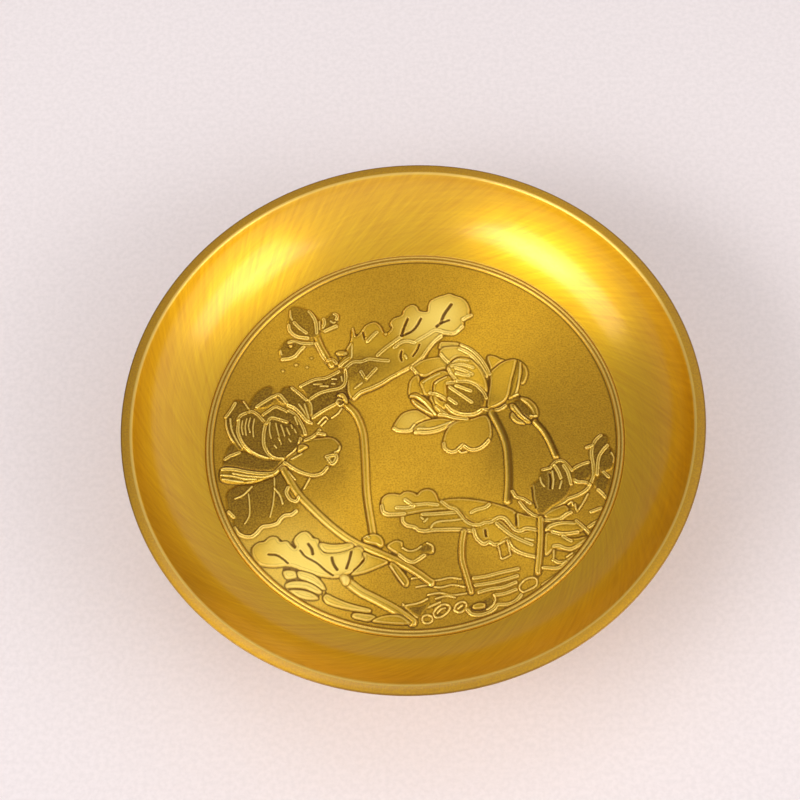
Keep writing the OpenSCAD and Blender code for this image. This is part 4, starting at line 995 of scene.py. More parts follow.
RIGHT_CLUSTER = (
    patch(0.45, (38.6, -8.8), (40.2, -8), (42.4, -7.4), (43.2, -5.6), (43, -8), (42.6, -10.4), (41.4, -11.8),
          (40, -12), (38.8, -11.6)),
    wire((38.7, -8.7), (40, -7.9), (42.2, -7.1)),
    wire((38.5, -11.6), (39.4, -12.3), (41.4, -12.4), (42.4, -13.2)),
    patch(0.6, (43.4, -3), (44.2, -1.4), (45.2, -0.2), (46.4, 0.1), (47.2, -0.8), (47.2, -2.2), (46.4, -3.2),
          (45.4, -4.4), (44.6, -6.4), (44.2, -8.6), (43.8, -10.6), (43, -11.4), (43.2, -9), (43.6, -6.6),
          (43.2, -4.6)),
    wire((42.4, -13), (43.3, -10.6), (43.3, -7.6), (43, -5), (43.4, -2.8), (44.3, -1.1), (45.5, 0)),
    wire((41.9, -3.2), (43.2, -2.7)),
    patch(0.65, (45.4, -5.6), (46.4, -4.2), (47.2, -3.2), (48, -4), (48.4, -5.6), (48.3, -7.6), (47.6, -9),
          (46.4, -9.6), (45.4, -10), (44.8, -8.6), (45, -7)),
    wire((44.2, -10.4), (44.4, -8), (44.8, -5.8), (45.8, -4.1), (47, -2.8)),
    rib((47.8, -4.8), (48.4, -6), (48.2, -7.4)),
    patch(0.55, (45.8, -10), (46.6, -10.8), (46.9, -12.4), (46.4, -14), (45.8, -15.4), (45, -15),
          (43.8, -14), (43.4, -12.6), (44.4, -11.2)),
    wire((45.8, -9.9), (46.9, -11.1)),
    wire((44.3, -14.5), (45.2, -15.4), (46, -16.4)),
    wire((42.4, -13.2), (41.2, -14.6), (39.2, -15.8), (37, -16.6), (35.6, -17.6), (33.4, -18.8),
         (31.4, -20.6)),
    rib((41.8, -15.4), (40.4, -18), (39, -20)),
    rib((37, -18), (37.8, -17.4), (38.2, -18.4)),
    rib((38.6, -18), (38.9, -19.6)),
    plate(0.55, (31.2, -21), (32.8, -19.7), (34.8, -18.8), (36.2, -18.4), (37, -19.4), (36.4, -20.6),
          (35, -21.4), (33, -21.8)),
    wire((31, -22), (33, -22.2), (35, -21.8), (36.4, -20.8), (37.6, -20.1)),
    plate(0.55, (31.4, -24.6), (32, -23.2), (34, -22.6), (37, -22.6), (39, -23), (40.4, -24.6), (38, -25.6),
          (35, -25.6), (33, -25)),
    wire((31.6, -24.6), (32.8, -23.6), (35.4, -22.9), (38.4, -23)),
    plate(0.55, (31.6, -25.4), (33.4, -25.8), (36, -26.8), (38.6, -27), (40.4, -26.6), (41.6, -26.6),
          (40, -28.4), (37.6, -29.6), (35, -29.8), (33.4, -29.2), (32.2, -30.4), (31.2, -31), (31.2, -28)),
    wire((33, -25.2), (35.6, -25.8), (39, -25.4)),
    wire((35.5, -26.3), (37.3, -27.6)),
    wire((42.4, -20.1), (44.8, -19.2)),
    wire((41.7, -24), (43.8, -22.6)),
    wire((38.8, -22.4), (40.4, -24), (42, -25.8)),
    wire((33.2, -28.9), (34.4, -28.8), (36, -29.6), (38, -29.4), (41.6, -27)),
    wire((33, -32.3), (34.4, -33), (36.4, -32.6), (38.2, -31.2)),
    rib((33.2, -29.8), (33.1, -32)),
    rib((36.2, -31.6), (37.6, -30.6)),
    patch(0.7, (30.2, -11.6), (30.4, -10.2), (31.2, -9), (32.6, -8.4), (33.4, -7.6), (34.4, -6.6),
          (35.6, -6.2), (36.8, -6.8), (37.6, -8), (38.2, -9.4), (38.3, -11), (38, -12.6), (37.6, -14),
          (36.6, -16), (35, -17.4), (33, -18.6), (31, -20.4), (29.8, -20.6), (29, -18.8), (28.4, -16.4),
          (28.2, -14), (28.8, -12.4)),
    wire((33.3, -7.9), (34.4, -6.8), (35.8, -6.6), (37, -7.6), (38.1, -9.2)),
    wire((36.2, -8), (37, -9.4), (37.5, -11.2), (37.8, -12.8)),
    wire((34, -8), (34.8, -9.4), (35.4, -11.2)),
    wire((31.2, -8.9), (33, -8.5)),
    rib((33.4, -9.4), (33.6, -11.6), (33.3, -14)),
    rib((35.6, -12), (35, -14)),
    rib((30.4, -11), (30.7, -12.4), (31.4, -13.4)),
    groove(0.55, (32.8, -10), (33, -11.6), (32.8, -13.8)),
    groove(0.5, (28.4, -13.4), (28.6, -16.4), (29.2, -18.8)),
    wire((23.7, -14.4), (24.6, -15.9), (26.2, -16.4), (27.8, -17.6)),
    wire((25.4, -17.2), (26.8, -19.2), (28.4, -20.6), (29.4, -21)),
    stem(1.4, (30.3, -21.5), (30.2, -26), (29.8, -31), (29.3, -35.4)),
    wire((30.6, -34.2), (34, -34.4), (36, -33)),
    wire((30.4, -38.6), (33, -36.8), (34.8, -35.6)),
    rib((25, -38.4), (26.2, -37.2), (28, -36.7), (29, -37.4), (28.7, -38.8), (27, -39.8), (25.6, -40.3),
        (24.8, -39.4), (25, -38.4)),
)

WATER = (
    rib((-0.6, -36.4), (2, -36.2), (5, -37), (8.4, -36.4), (11, -36.8)),
    rib((0.4, -38.6), (3, -38.2), (6, -38.8), (9, -38.2), (12, -38.8)),
    wire((14, -36.6), (17, -36.2), (20, -35.4), (24.6, -34.4)),
    wire((14.4, -38.4), (17.4, -38), (20.4, -37.4), (24.4, -36.2)),
    wire((15.2, -40.2), (18, -39.4), (21, -39), (24, -37.8)),
    wire((19, -41), (21.4, -40.6), (24, -39.6)),
    rib((3.2, -40.6), (6, -40.2), (9, -40.8), (12.4, -40.4)),
    rib((5, -41.6), (7.4, -41), (9.6, -41.4)),
    rib((-2.8, -42.8), (-1, -44.6), (0.6, -46.2)),
    rib((-2, -43.2), (1, -42.6), (3, -41.6)),
    rib((1.4, -44.6), (4, -43.4), (6, -42.5)),
    patch(0.35, (-1.6, -43.8), (1, -43.4), (3.4, -42.6), (2, -44.8), (1, -45.8)),
    rib((3, -45.6), (4, -46.1), (4.1, -47.2), (3, -47.8), (1.9, -47.3), (1.9, -46.1), (3, -45.6)),
    rib((4.4, -45.2), (5.2, -44), (6.6, -43.1), (8, -43.3), (8.3, -44.2), (7.4, -45.4), (6, -46.3),
        (4.8, -46.2), (4.4, -45.2)),
    rib((5.4, -45.2), (6.2, -44.3), (7.2, -44)),
    rib((9.3, -44.6), (9.8, -43.2), (11.2, -42.5), (12.2, -43), (11.9, -44.4), (10.6, -45.2), (9.3, -44.6)),
    rib((10.2, -44.2), (11.2, -43.4)),
    patch(0.3, (12.6, -44.2), (13.6, -43), (16, -42.4), (18.2, -41.2), (18.6, -43), (17, -44.8),
          (14.4, -45.2)),
    plate(0.8, (14, -43.4), (15.2, -43), (16.6, -43.2), (16.4, -44.1), (15, -44.4), (13.8, -44.2)),
    wire((12.4, -44.6), (13.4, -45.6), (15.4, -45.9), (17.6, -45.2), (19, -44.2), (19.6, -43.4), (22, -43.3),
         (24, -42.4), (25.2, -41)),
    rib((18.6, -40.8), (19.1, -42), (18.4, -43.6), (17, -44.6)),
)

LOTUS_POND = (WATER + UPPER_LEAF + SMALL_BUDS + LEFT_LEAF + LEFT_FLOWER + RIGHT_FLOWER + SIDE_BUD
              + CENTRE_LEAF + RIGHT_CLUSTER + LOWER_LEAVES + MIDDLE)


# Spots of the relief made paler and smoother (above 0) or duller and grainier (below 0): centre x and y,
# reach, amount
TONE_SPOTS = (
    (7, 34, 7, 0.9), (0, 30, 5, 0.45), (-14, 19, 7, -1.0), (-6, 21, 5, -0.35), (-24, -4, 5, -0.35),
    (-28, -29, 10, 0.9), (-16, -32, 5, 0.7), (-26, -38, 7, 0.75), (-14, -44, 6, 0.5), (10, 23, 6, 0.3),
    (-1, 5, 5, 0.4), (20, 10, 3, -0.5), (-5, -16, 5, 0.25),
)

# A pale patch painted on the ground as painted sheen, given in the same way
PAINTED_SHEEN = ((-32, -34, 18, 0.6),)


def curve(points, closed, steps=5):
    """Points of the smooth curve through the given ones."""
    knots = np.array(points, float)
    if closed:
        knots = np.vstack([knots[-1:], knots, knots[:2]])
    else:
        knots = np.vstack([2 * knots[:1] - knots[1:2], knots, 2 * knots[-1:] - knots[-2:-1]])
    t = np.linspace(0, 1, steps, endpoint=False)[:, None]
    runs = []
    for a, b, c, d in zip(knots, knots[1:], knots[2:], knots[3:]):
        runs.append(0.5 * (2 * b + (c - a) * t + (2 * a - 5 * b + 4 * c - d) * t ** 2
                           + (3 * b - a - 3 * c + d) * t ** 3))
    if not closed:
        runs.append(knots[-2:-1])
    return np.vstack(runs)


def step(low, high, value):
    """Smooth step from 0 at low to 1 at high."""
    t = np.clip((value - low) / (high - low), 0, 1)
    return t * t * (3 - 2 * t)


def bell(value, centre, reach):
    """A smooth bump of height 1 at centre that ends at reach on either side."""
    return np.clip(1 - ((value - centre) / reach) ** 2, 0, 1) ** 2


def blurred(field, blur):
    """A raster softened by a Gaussian of a width in cells."""
    reach = int(3 * blur) + 1
    weights = np.exp(-0.5 * (np.arange(-reach, reach + 1) / blur) ** 2)
    weights /= weights.sum()
    for axis in (0, 1):
        field = sum(w * np.roll(field, k - reach, axis) for k, w in enumerate(weights))
    return field


class ReliefRaster:
    """Height of the relief on a square raster, in mm, laid down piece by piece from back to front.

    A stroke is given its size, the part of the raster around it, and how far each cell there lies inside
    its outline or from its line. Its distances are in mm, and so are heights that are no share of the full
    relief.
    """

    # Room round a stroke, and the height that a groove leaves at least, in mm
    margin = 1.6
    bottom = 0.02

    def __init__(self, reach, pitch, full):
        self.pitch = pitch
        self.full = full
        self.axis = np.arange(-reach, reach + pitch, pitch)
        self.height = np.zeros((len(self.axis), len(self.axis)))
        self.polish_and_sheen = np.zeros_like(self.height)
        self.shade = np.zeros_like(self.height)

    def window(self, points):
        """Slices and coordinates of the raster around some points."""
        low = np.searchsorted(self.axis, points.min(0) - self.margin)
        high = np.searchsorted(self.axis, points.max(0) + self.margin)
        part = (slice(low[1], high[1]), slice(low[0], high[0]))
        x, y = np.meshgrid(self.axis[part[1]], self.axis[part[0]])
        return part, x, y

    def reach(self, x, y, points, closed):
        """Distance to a line, or distance inwards from a closed one."""
        ends = np.roll(points, -1, axis=0) if closed else points[1:]
        near = np.full(x.shape, np.inf)
        inside = np.zeros(x.shape, bool)
        for (ax, ay), (bx, by) in zip(points, ends):
            dx, dy = bx - ax, by - ay
            t = np.clip(((x - ax) * dx + (y - ay) * dy) / max(dx * dx + dy * dy, 1e-12), 0, 1)
            near = np.minimum(near, (x - ax - t * dx) ** 2 + (y - ay - t * dy) ** 2)
            if closed and ay != by:
                inside ^= ((ay > y) != (by > y)) & (x < (y - ay) * dx / dy + ax)
        near = np.sqrt(near)
        return np.where(inside, near, -near) if closed else near

    def lay(self, part, share, height, polish_and_sheen, shade=0.0):
        """Mixes a height, a finish and a shade into a part of the raster by a share from 0 to 1."""
        for field, value in ((self.height, height), (self.polish_and_sheen, polish_and_sheen), (self.shade, shade)):
            field[part] += (value - field[part]) * share

    def sink(self, part, share):
        """Lowers what is there by a share, so that the next piece stands clear of it."""
        self.height[part] *= 1 - share

    def foot(self, part, share, amount):
        """Paints brown shade at the foot of a step."""
        self.shade[part] -= (self.shade[part] + amount) * share

    def plate(self, level, part, depth):
        """A smooth patch with a bevelled edge and a shallow channel inside it, painted with a highlight on
        the bevel and shade in the channel and at the foot.
        """
        swell = 1 - np.exp(-np.maximum(depth - 0.5, 0) / 1.6)
        channel = bell(depth, 0.52, 0.24)
        self.sink(part, 0.5 * step(-0.7, -0.2, depth))
        self.foot(part, bell(depth, -0.28, 0.3), 0.95)
        face = self.full * level * (0.9 + 0.1 * swell) - 0.05 * channel
        glint = 0.7 * bell(depth, 0.16, 0.26) - 0.4 * channel
        self.lay(part, step(-0.26, 0.2, depth), face, 0.08, glint)

    def patch(self, level, part, depth):
        """A flat grainy patch with a soft edge and shade painted at its foot."""
        self.sink(part, 0.5 * step(-0.7, -0.2, depth))
        self.foot(part, bell(depth, -0.2, 0.25), 0.4)
        self.lay(part, step(-0.2, 0.25, depth), 0.75 * self.full * level, -0.85)

    def pebble(self, level, part, depth):
        """A domed patch, painted with a faint highlight and with shade at its foot."""
        dome = np.sqrt(np.clip(1 - (1 - np.clip(depth, 0, 1)) ** 2, 0, 1))
        self.sink(part, 0.8 * step(-0.6, -0.1, depth))
        self.foot(part, bell(depth, -0.15, 0.3), 0.6)
        top = np.maximum(self.height[part], self.full * level * dome)
        self.lay(part, (depth > 0) * 1.0, top, 0.4, 0.4)

    def wire(self, width, part, near):
        """A raised line with a fine groove along its middle, which stands on what is there. Its crests are
        painted as highlight, and its groove and foot as shade.
        """
        middle = bell(near, 0, 0.24 * width)
        top = np.maximum(self.height[part] + 0.17, 0.5 * self.full) - 0.13 * middle
        self.height[part] -= 0.03 * bell(near, 0.8 * width, 0.3 * width)
        self.foot(part, bell(near, 0.68 * width, 0.24 * width), 0.75)
        self.lay(part, 1 - step(0.32 * width, 0.56 * width, near), top, 0.4, 1 - 1.9 * middle)

    def rib(self, width, part, near):
        """A thin raised line, which stands on what is there, painted as a highlight with shade at its foot.
        """
        top = np.maximum(self.height[part] + 0.14, 0.45 * self.full)
        self.foot(part, bell(near, 0.7 * width, 0.35 * width), 0.8)
        self.lay(part, 1 - step(0.18 * width, 0.52 * width, near), top, 0.4, 1.0)

    def groove(self, width, part, near):
        """A cut line with a thin burr on either side; the burrs are painted as highlight and the cut as
        shade.
        """
        burr = bell(near, width / 2 + 0.22, 0.24)
        deep = np.maximum(self.height[part] - 0.4 * self.full, self.bottom)
        floor = np.minimum(self.height[part], deep)
        self.height[part] += 0.05 * burr
        self.shade[part] += 0.5 * burr
        self.lay(part, 1 - step(width / 2 - 0.18, width / 2 + 0.12, near), floor, -0.4, -1.0)

    def stem(self, width, part, near):
        """A flat-topped line with bevels, a fine groove along its middle and a small gap on either side. Its
        bevels are painted as highlight, and its groove and gaps as shade.
        """
        side = near - 0.5 * width
        middle = bell(near, 0, 0.22)
        self.sink(part, 0.75 * (1 - step(0, 0.5, side)))
        self.foot(part, bell(side, 0.22, 0.3), 0.9)
        face = 0.72 * self.full - 0.08 * middle
        glint = 0.8 * bell(side, -0.26, 0.3) - 0.6 * middle
        self.lay(part, 1 - step(-0.36, 0.1, side), face, 0.15, glint)

    def painted_shade(self, width, part, near):
        """A soft brown band of painted shade along the shaded side of a line, which leaves the shape as it
        is.
        """
        self.foot(part, 1 - step(width / 2 - 0.25, width / 2 + 0.2, near), 0.75)

    def draw(self, strokes):
        """Lays all strokes of a drawing."""
        for kind, size, points in strokes:
            closed = kind in ("plate", "patch", "pebble")
            line = curve(points, closed)
            part, x, y = self.window(line)
            getattr(self, kind)(size, part, self.reach(x, y, line, closed))

    def finish(self, blur, free_r):
        """Softens the struck edges, ends the relief at the bead, paints shade at the bead's foot, and adds
        the paler and duller spots and the painted sheen.
        """
        x, y = np.meshgrid(self.axis, self.axis)
        radius = np.hypot(x, y)
        inside = 1 - step(free_r - 0.5, free_r, radius)
        self.height = blurred(self.height, blur / self.pitch) * inside
        # A ring of painted shade at the foot of the bead
        self.shade = np.clip(self.shade * inside - 0.9 * bell(radius, free_r + 0.1, 0.5), -1, 1)

        # Sums soft spots of the given amounts, both the paler and duller spots and the painted sheen
        def rubbed(spots):
            return sum(amount * np.exp(-1.2 * ((x - cx) ** 2 + (y - cy) ** 2) / reach ** 2)
                       for cx, cy, reach, amount in spots)

        shown = step(0.1, 0.3, self.height / self.full)
        tone_and_sheen = shown * rubbed(TONE_SPOTS) + (1 - shown) * rubbed(PAINTED_SHEEN)
        self.polish_and_sheen = np.clip(blurred(self.polish_and_sheen, blur / self.pitch) + tone_and_sheen, -1, 1)

    def sample(self, field, x, y):
        """A field's value at any points."""
        u = (x - self.axis[0]) / self.pitch
        v = (y - self.axis[0]) / self.pitch
        i = np.clip(u.astype(int), 0, len(self.axis) - 2)
        j = np.clip(v.astype(int), 0, len(self.axis) - 2)
        u, v = u - i, v - j
        low = field[j, i] * (1 - u) + field[j, i + 1] * u
        high = field[j + 1, i] * (1 - u) + field[j + 1, i + 1] * u
        return low * (1 - v) + high * v


def disc_grid(cells, radius):
    """A square grid of points bent to fill a disc evenly."""
    line = np.linspace(-1, 1, cells + 1)
    u, v = np.meshgrid(line, line, indexing="ij")
    wide = np.abs(u) > np.abs(v)
    with np.errstate(divide="ignore", invalid="ignore"):
        turn = np.where(wide, math.pi / 4 * v / u, math.pi / 2 - math.pi / 4 * u / v)
    reach = np.where(wide, u, v) * radius
    turn = np.nan_to_num(turn)
    return reach * np.cos(turn), reach * np.sin(turn)


def bend(field):
    """How far a field bends from one grid point to the next, spread to the neighbours."""
    total = np.zeros_like(field)
    total[1:-1] = np.abs(field[2:] - 2 * field[1:-1] + field[:-2])
    across = np.abs(field[:, 2:] - 2 * field[:, 1:-1] + field[:, :-2])
    total[:, 1:-1] = np.maximum(total[:, 1:-1], across)
    twist = np.abs(field[1:, 1:] - field[1:, :-1] - field[:-1, 1:] + field[:-1, :-1])
    total[1:, 1:] = np.maximum(total[1:, 1:], twist)
    for axis in (0, 1):
        total = np.maximum(total, np.maximum(np.roll(total, 1, axis), np.roll(total, -1, axis)))
    return total


# Most cells in the side of a flat patch, the bend in mm that a patch may leave out, and what a change of
# shade counts beside a bend
COARSEST = 8
BEND_PLAY = 0.0035
SHADE_WEIGHT = 0.01


def leaf_cells(bending):
    """Corners and sizes of grid cells that are small only where the relief bends."""
    cells = len(bending) - 1
    free = np.ones((cells, cells), bool)
    leaves = []
    size = COARSEST
    while size:
        count = cells // size
        shape = (count, size, count, size)
        worst = bending[:-1, :-1].reshape(shape).max((1, 3))
        flat = (size == 1) | (size * size * worst / 8 < BEND_PLAY)
        chosen = free.reshape(shape).all((1, 3)) & flat
        free &= ~np.kron(chosen, np.ones((size, size), bool))
        for i, j in np.argwhere(chosen) * size:
            leaves.append((int(i), int(j), size))
        size //= 2
    return leaves


def leaf_faces(leaves, cells):
    """Faces of the leaf cells, each with the corners of its finer neighbours, and the border's points."""
    used = np.zeros((cells + 1, cells + 1), bool)
    for i, j, size in leaves:
        for a, b in ((i, j), (i + size, j), (i, j + size), (i + size, j + size)):
            used[a, b] = True

    def ring(i, j, size):
        spots = [(i + k, j) for k in range(size)] + [(i + size, j + k) for k in range(size)]
        spots += [(i + size - k, j + size) for k in range(size)] + [(i, j + size - k) for k in range(size)]
        return [a * (cells + 1) + b for a, b in spots if used[a, b]]

    return [ring(*leaf) for leaf in leaves], ring(0, 0, cells)


def medallion_mesh(name, raster, cells, radius, bottom, ground):
    """The medallion as one closed mesh, with relief, upright edge and flat back, and its fine points."""
    x, y = disc_grid(cells, radius)
    height, shade, polish_and_sheen = [raster.sample(field, x, y)
                             for field in (raster.height, raster.shade, raster.polish_and_sheen)]
    leaves = leaf_cells(np.maximum(bend(height), SHADE_WEIGHT * bend(shade)))
    faces, rim = leaf_faces(leaves, cells)
    kept = np.concatenate([rim] + [face for face, leaf in zip(faces, leaves) if leaf[2] > 1])
    top_count = len(faces)
    used = np.unique(np.concatenate([np.array(f) for f in faces]))
    place = np.full((cells + 1) ** 2, -1)
    place[used] = np.arange(len(used))
    points = np.column_stack([x.ravel(), y.ravel(), ground + height.ravel()])[used]
    faces = [place[f].tolist() for f in faces]
    fine = place[np.setdiff1d(used, kept)].tolist()
    rim = place[rim]
    lower = len(points) + np.arange(len(rim))
    under = points[rim].copy()
    under[:, 2] = bottom
    points = np.vstack([points, under])
    for k in range(len(rim)):
        n = (k + 1) % len(rim)
        faces.append([int(rim[n]), int(rim[k]), int(lower[k]), int(lower[n])])
    faces.append(lower[::-1].tolist())
    mesh = bpy.data.meshes.new(name)
    mesh.from_pydata((points * MM).tolist(), [], faces)
    mesh.polygons.foreach_set("use_smooth", np.arange(len(faces)) < top_count)
    fields = {"raised": height / raster.full, "shade": shade, "polish_and_sheen": polish_and_sheen}
    for label, field in fields.items():
        values = np.zeros(len(points), np.float32)
        values[:len(used)] = field.ravel()[used]
        mesh.attributes.new(label, "FLOAT", "POINT").data.foreach_set("value", values)
    mesh.update()
    return mesh, fine


def thinned(piece, triangles, points):
    """Thins a piece's mesh to a number of triangles by taking out some of the given points."""
    group = piece.vertex_groups.new(name="thinned")
    group.add(points, 1.0, "REPLACE")
    modifier = piece.modifiers.new("Thinned", "DECIMATE")
    modifier.vertex_group = group.name
    modifier.ratio = min(1.0, triangles / sum(len(face.vertices) - 2 for face in piece.data.polygons))
    graph = bpy.context.evaluated_depsgraph_get()
    full = piece.data
    piece.data = bpy.data.meshes.new_from_object(piece.evaluated_get(graph), depsgraph=graph)
    piece.data.name = piece.name
    piece.modifiers.remove(modifier)
    piece.vertex_groups.clear()
    bpy.data.meshes.remove(full)


def struck_normals(mesh, raster):
    """Gives the top the relief's own normals, so that thinning leaves no marks in the shading."""
    upright = 0.02
    corners = np.empty(len(mesh.loops), np.int32)
    mesh.loops.foreach_get("vertex_index", corners)
    spots = np.empty(3 * len(mesh.vertices))
    mesh.vertices.foreach_get("co", spots)
    x, y = spots.reshape(-1, 3)[:, :2].T / MM
    rise_y, rise_x = [raster.sample(rise, x, y) for rise in np.gradient(raster.height, raster.pitch)]
    smooth = np.column_stack([-rise_x, -rise_y, np.ones_like(x)])
    smooth /= np.linalg.norm(smooth, axis=1)[:, None]
    sides = np.empty(len(mesh.polygons), np.int32)
    mesh.polygons.foreach_get("loop_total", sides)
    flat = np.empty(3 * len(mesh.polygons))
    mesh.polygons.foreach_get("normal", flat)
    flat = np.repeat(flat.reshape(-1, 3), sides, axis=0)
    mesh.normals_split_custom_set(np.where(flat[:, 2:] > upright, smooth[corners], flat).tolist())


# Fasteners

# Where the flank of a thread starts and ends between root and crest, as shares of the half pitch
FLANK_START = 0.15
FLANK_END = 0.85

ROD_SIDES = 48
RINGS_PER_TURN = 10
WASHER_STEPS = 96
SPRING_STEPS = 90
NUT_STEPS = 120
NUT_LEVELS = 41
PLATED_SHARP = math.radians(32)


def thread_tree():
    """Geometry Nodes tree that makes a threaded rod with bevelled ends."""
    tree, given = new_tree("Threaded Rod", (
        ("Mesh", "Geometry"), ("Radius", "Float"), ("Length", "Float"), ("Base", "Float"),
        ("Pitch", "Float"), ("Depth", "Float"), ("Rings", "Int"), ("Material", "Material")))
    rod = add(tree, "GeometryNodeMeshCylinder", {
        "Vertices": ROD_SIDES, "Side Segments": given["Rings"], "Radius": given["Radius"],
        "Depth": given["Length"]})
    x, y, z = add(tree, "ShaderNodeSeparateXYZ", [add(tree, "GeometryNodeInputPosition")]).outputs
    half = add(tree, "ShaderNodeMath", (given["Length"], 0.5), operation="MULTIPLY")
    middle = add(tree, "ShaderNodeMath", (given["Base"], half), operation="ADD")
    level = add(tree, "ShaderNodeMath", (z, middle), operation="ADD")

    bearing = add(tree, "ShaderNodeMath", (y, x), operation="ARCTAN2")
    turn = add(tree, "ShaderNodeMath", (bearing, math.tau), operation="DIVIDE")
    turns = add(tree, "ShaderNodeMath", (level, given["Pitch"]), operation="DIVIDE")
    ahead = add(tree, "ShaderNodeMath", (turns, turn), operation="SUBTRACT")
    phase = add(tree, "ShaderNodeMath", [ahead], operation="FRACT")
    swing = add(tree, "ShaderNodeMath", (phase, 2.0, -1.0), operation="MULTIPLY_ADD")
    wave = add(tree, "ShaderNodeMath", [swing], operation="ABSOLUTE")
    flank = add(tree, "ShaderNodeMapRange", (wave, FLANK_START, FLANK_END, 1.0, 0.0))
    cut = add(tree, "ShaderNodeMath", (flank, given["Depth"]), operation="MULTIPLY")

    from_middle = add(tree, "ShaderNodeMath", [z], operation="ABSOLUTE")
    to_end = add(tree, "ShaderNodeMath", (half, from_middle), operation="SUBTRACT")
    bevel = add(tree, "ShaderNodeMath", (given["Depth"], to_end), operation="SUBTRACT")
    inwards = add(tree, "ShaderNodeMath", (cut, bevel), operation="MAXIMUM")
    loss = add(tree, "ShaderNodeMath", (inwards, given["Radius"]), operation="DIVIDE")
    scale = add(tree, "ShaderNodeMath", (1.0, loss), operation="SUBTRACT")
    across = [add(tree, "ShaderNodeMath", (side, scale), operation="MULTIPLY") for side in (x, y)]
    spot = add(tree, "ShaderNodeCombineXYZ", (*across, level))
    threaded = add(tree, "GeometryNodeSetPosition", {"Geometry": rod, "Position": spot})
    smooth = add(tree, "GeometryNodeSetShadeSmooth",
                 {"Geometry": threaded, "Selection": rod.outputs["Side"]}, domain="FACE")
    return end_tree(tree, smooth, given["Material"])


def thread_cut(turn, level, pitch, depth):
    """How far the thread cuts in at an angle and a level, as the rod's tree has it."""
    phase = (level / pitch - turn / math.tau) % 1.0
    wave = abs(2 * phase - 1)
    return depth * min(max((FLANK_END - wave) / (FLANK_END - FLANK_START), 0), 1)


def ring_mesh(name, rings, closed, material):
    """A mesh through rings of points, each ring a closed section; an open run gets end faces."""
    count, width = len(rings), len(rings[0])
    points = [tuple(c * MM for c in p) for ring in rings for p in ring]
    faces = []
    for i in range(count if closed else count - 1):
        n = (i + 1) % count
        for j in range(width):
            m = (j + 1) % width
            faces.append((i * width + j, n * width + j, n * width + m, i * width + m))
    if not closed:
        last = (count - 1) * width
        faces.append(tuple(range(width)))
        faces.append(tuple(range(last + width - 1, last - 1, -1)))
    mesh = bpy.data.meshes.new(name)
    mesh.from_pydata(points, [], faces)
    mesh.materials.append(material)
    mesh.shade_smooth()
    mesh.set_sharp_from_angle(angle=PLATED_SHARP)
    mesh.update()
    piece = bpy.data.objects.new(name, mesh)
    bpy.context.scene.collection.objects.link(piece)
    return piece


def around(turn, section):
    """A section of (r, z) points turned to an angle."""
    return [(r * math.cos(turn), r * math.sin(turn), z) for r, z in section]


def washer_section(inner, outer, bottom, top, ease):
    """The section of a washer with eased edges."""
    return eased([(inner, bottom, ease), (outer, bottom, ease), (outer, top, ease), (inner, top, ease)])


# Operators


class DISH_OT_bowl(bpy.types.Operator):
    """Turns the dish with its lip, concave wall, recess and boss"""

    bl_idname = "object.dish_bowl"
    bl_label = "Dish"

    def execute(self, context):
        s = in_mm(settings().dish)
        bow = settings().dish.bow
        floor_r = BEAD_R + s["recess_play"]
        seat_r = MEDALLION_R + s["recess_play"]
        lip_r = RIM_R - s["lip"]
        chord = math.hypot(lip_r - floor_r, RIM_Z - FLOOR_Z)
        lean = math.atan2(RIM_Z - FLOOR_Z, lip_r - floor_r)
        arc_in = chord / (2 * math.sin(bow))
        centre = (floor_r - arc_in * math.sin(lean - bow), FLOOR_Z + arc_in * math.cos(lean - bow))
        arc_out = math.hypot(RIM_R - centre[0], RIM_Z - s["land"] - centre[1])

        def bearing(r, z):
            return math.degrees(math.atan2(z - centre[1], r - centre[0]))

        steps = 56
        inner = arc(centre, arc_in, bearing(floor_r, FLOOR_Z), bearing(lip_r, RIM_Z), steps)
        outer = arc(centre, arc_out, bearing(RIM_R, RIM_Z - s["land"]), -90, steps)
        boss_ease, bore_ease = 0.5, 0.3
        bore_r = STUD_R + 0.05
        bore_z = STUD_TOP_Z + 0.2
        # Both arcs stop short of the lip, to leave room for its rounded edges
        corners = [(0, MEDALLION_Z), (seat_r, MEDALLION_Z), (seat_r, FLOOR_Z), *inner[:-4]]
        corners.append((lip_r, RIM_Z, s["arris"]))
        for share in (0.45, 0.6, 0.75):
            corners.append((lip_r + share * s["lip"], RIM_Z - s["lip_fall"] * share ** 2))
        corners.append((RIM_R, RIM_Z - s["lip_fall"], s["edge"]))
        corners += outer[3:]
        corners += [(s["boss"], UNDER_Z), (s["boss"], BOSS_Z, boss_ease), (bore_r, BOSS_Z, bore_ease),
                    (bore_r, bore_z), (0, bore_z)]
        brushed = shared("Brass, turned and hand-brushed", brushed_brass)
        piece = turned("dish_bowl", eased(corners, 6), brushed, settings().dish.segments, open_ended=True)
        hand_in(piece, "turned_brass", "dish")
        return {"FINISHED"}


class DISH_OT_medallion(bpy.types.Operator):
    """Strikes the frosted medallion with the lotus pond in relief"""

    bl_idname = "object.dish_medallion"
    bl_label = "Lotus medallion"

    def execute(self, context):
        name = "dish_medallion"
        relief = settings().relief
        s = in_mm(relief)
        raster = ReliefRaster(MEDALLION_R + 1, s["pitch"], s["height"])
        raster.draw(LOTUS_POND)
        raster.finish(s["blur"], BEAD_R - in_mm(settings().dish)["bead"])
        mesh, fine = medallion_mesh(name, raster, relief.cells, MEDALLION_R, MEDALLION_Z, FLOOR_Z)
        mesh.materials.append(shared("Brass, struck and frosted", frosted_brass))
        piece = bpy.data.objects.new(name, mesh)
        context.scene.collection.objects.link(piece)
        thinned(piece, relief.triangles, fine)
        struck_normals(piece.data, raster)
        hand_in(piece, "frosted_brass", "lotus_medallion")
        return {"FINISHED"}


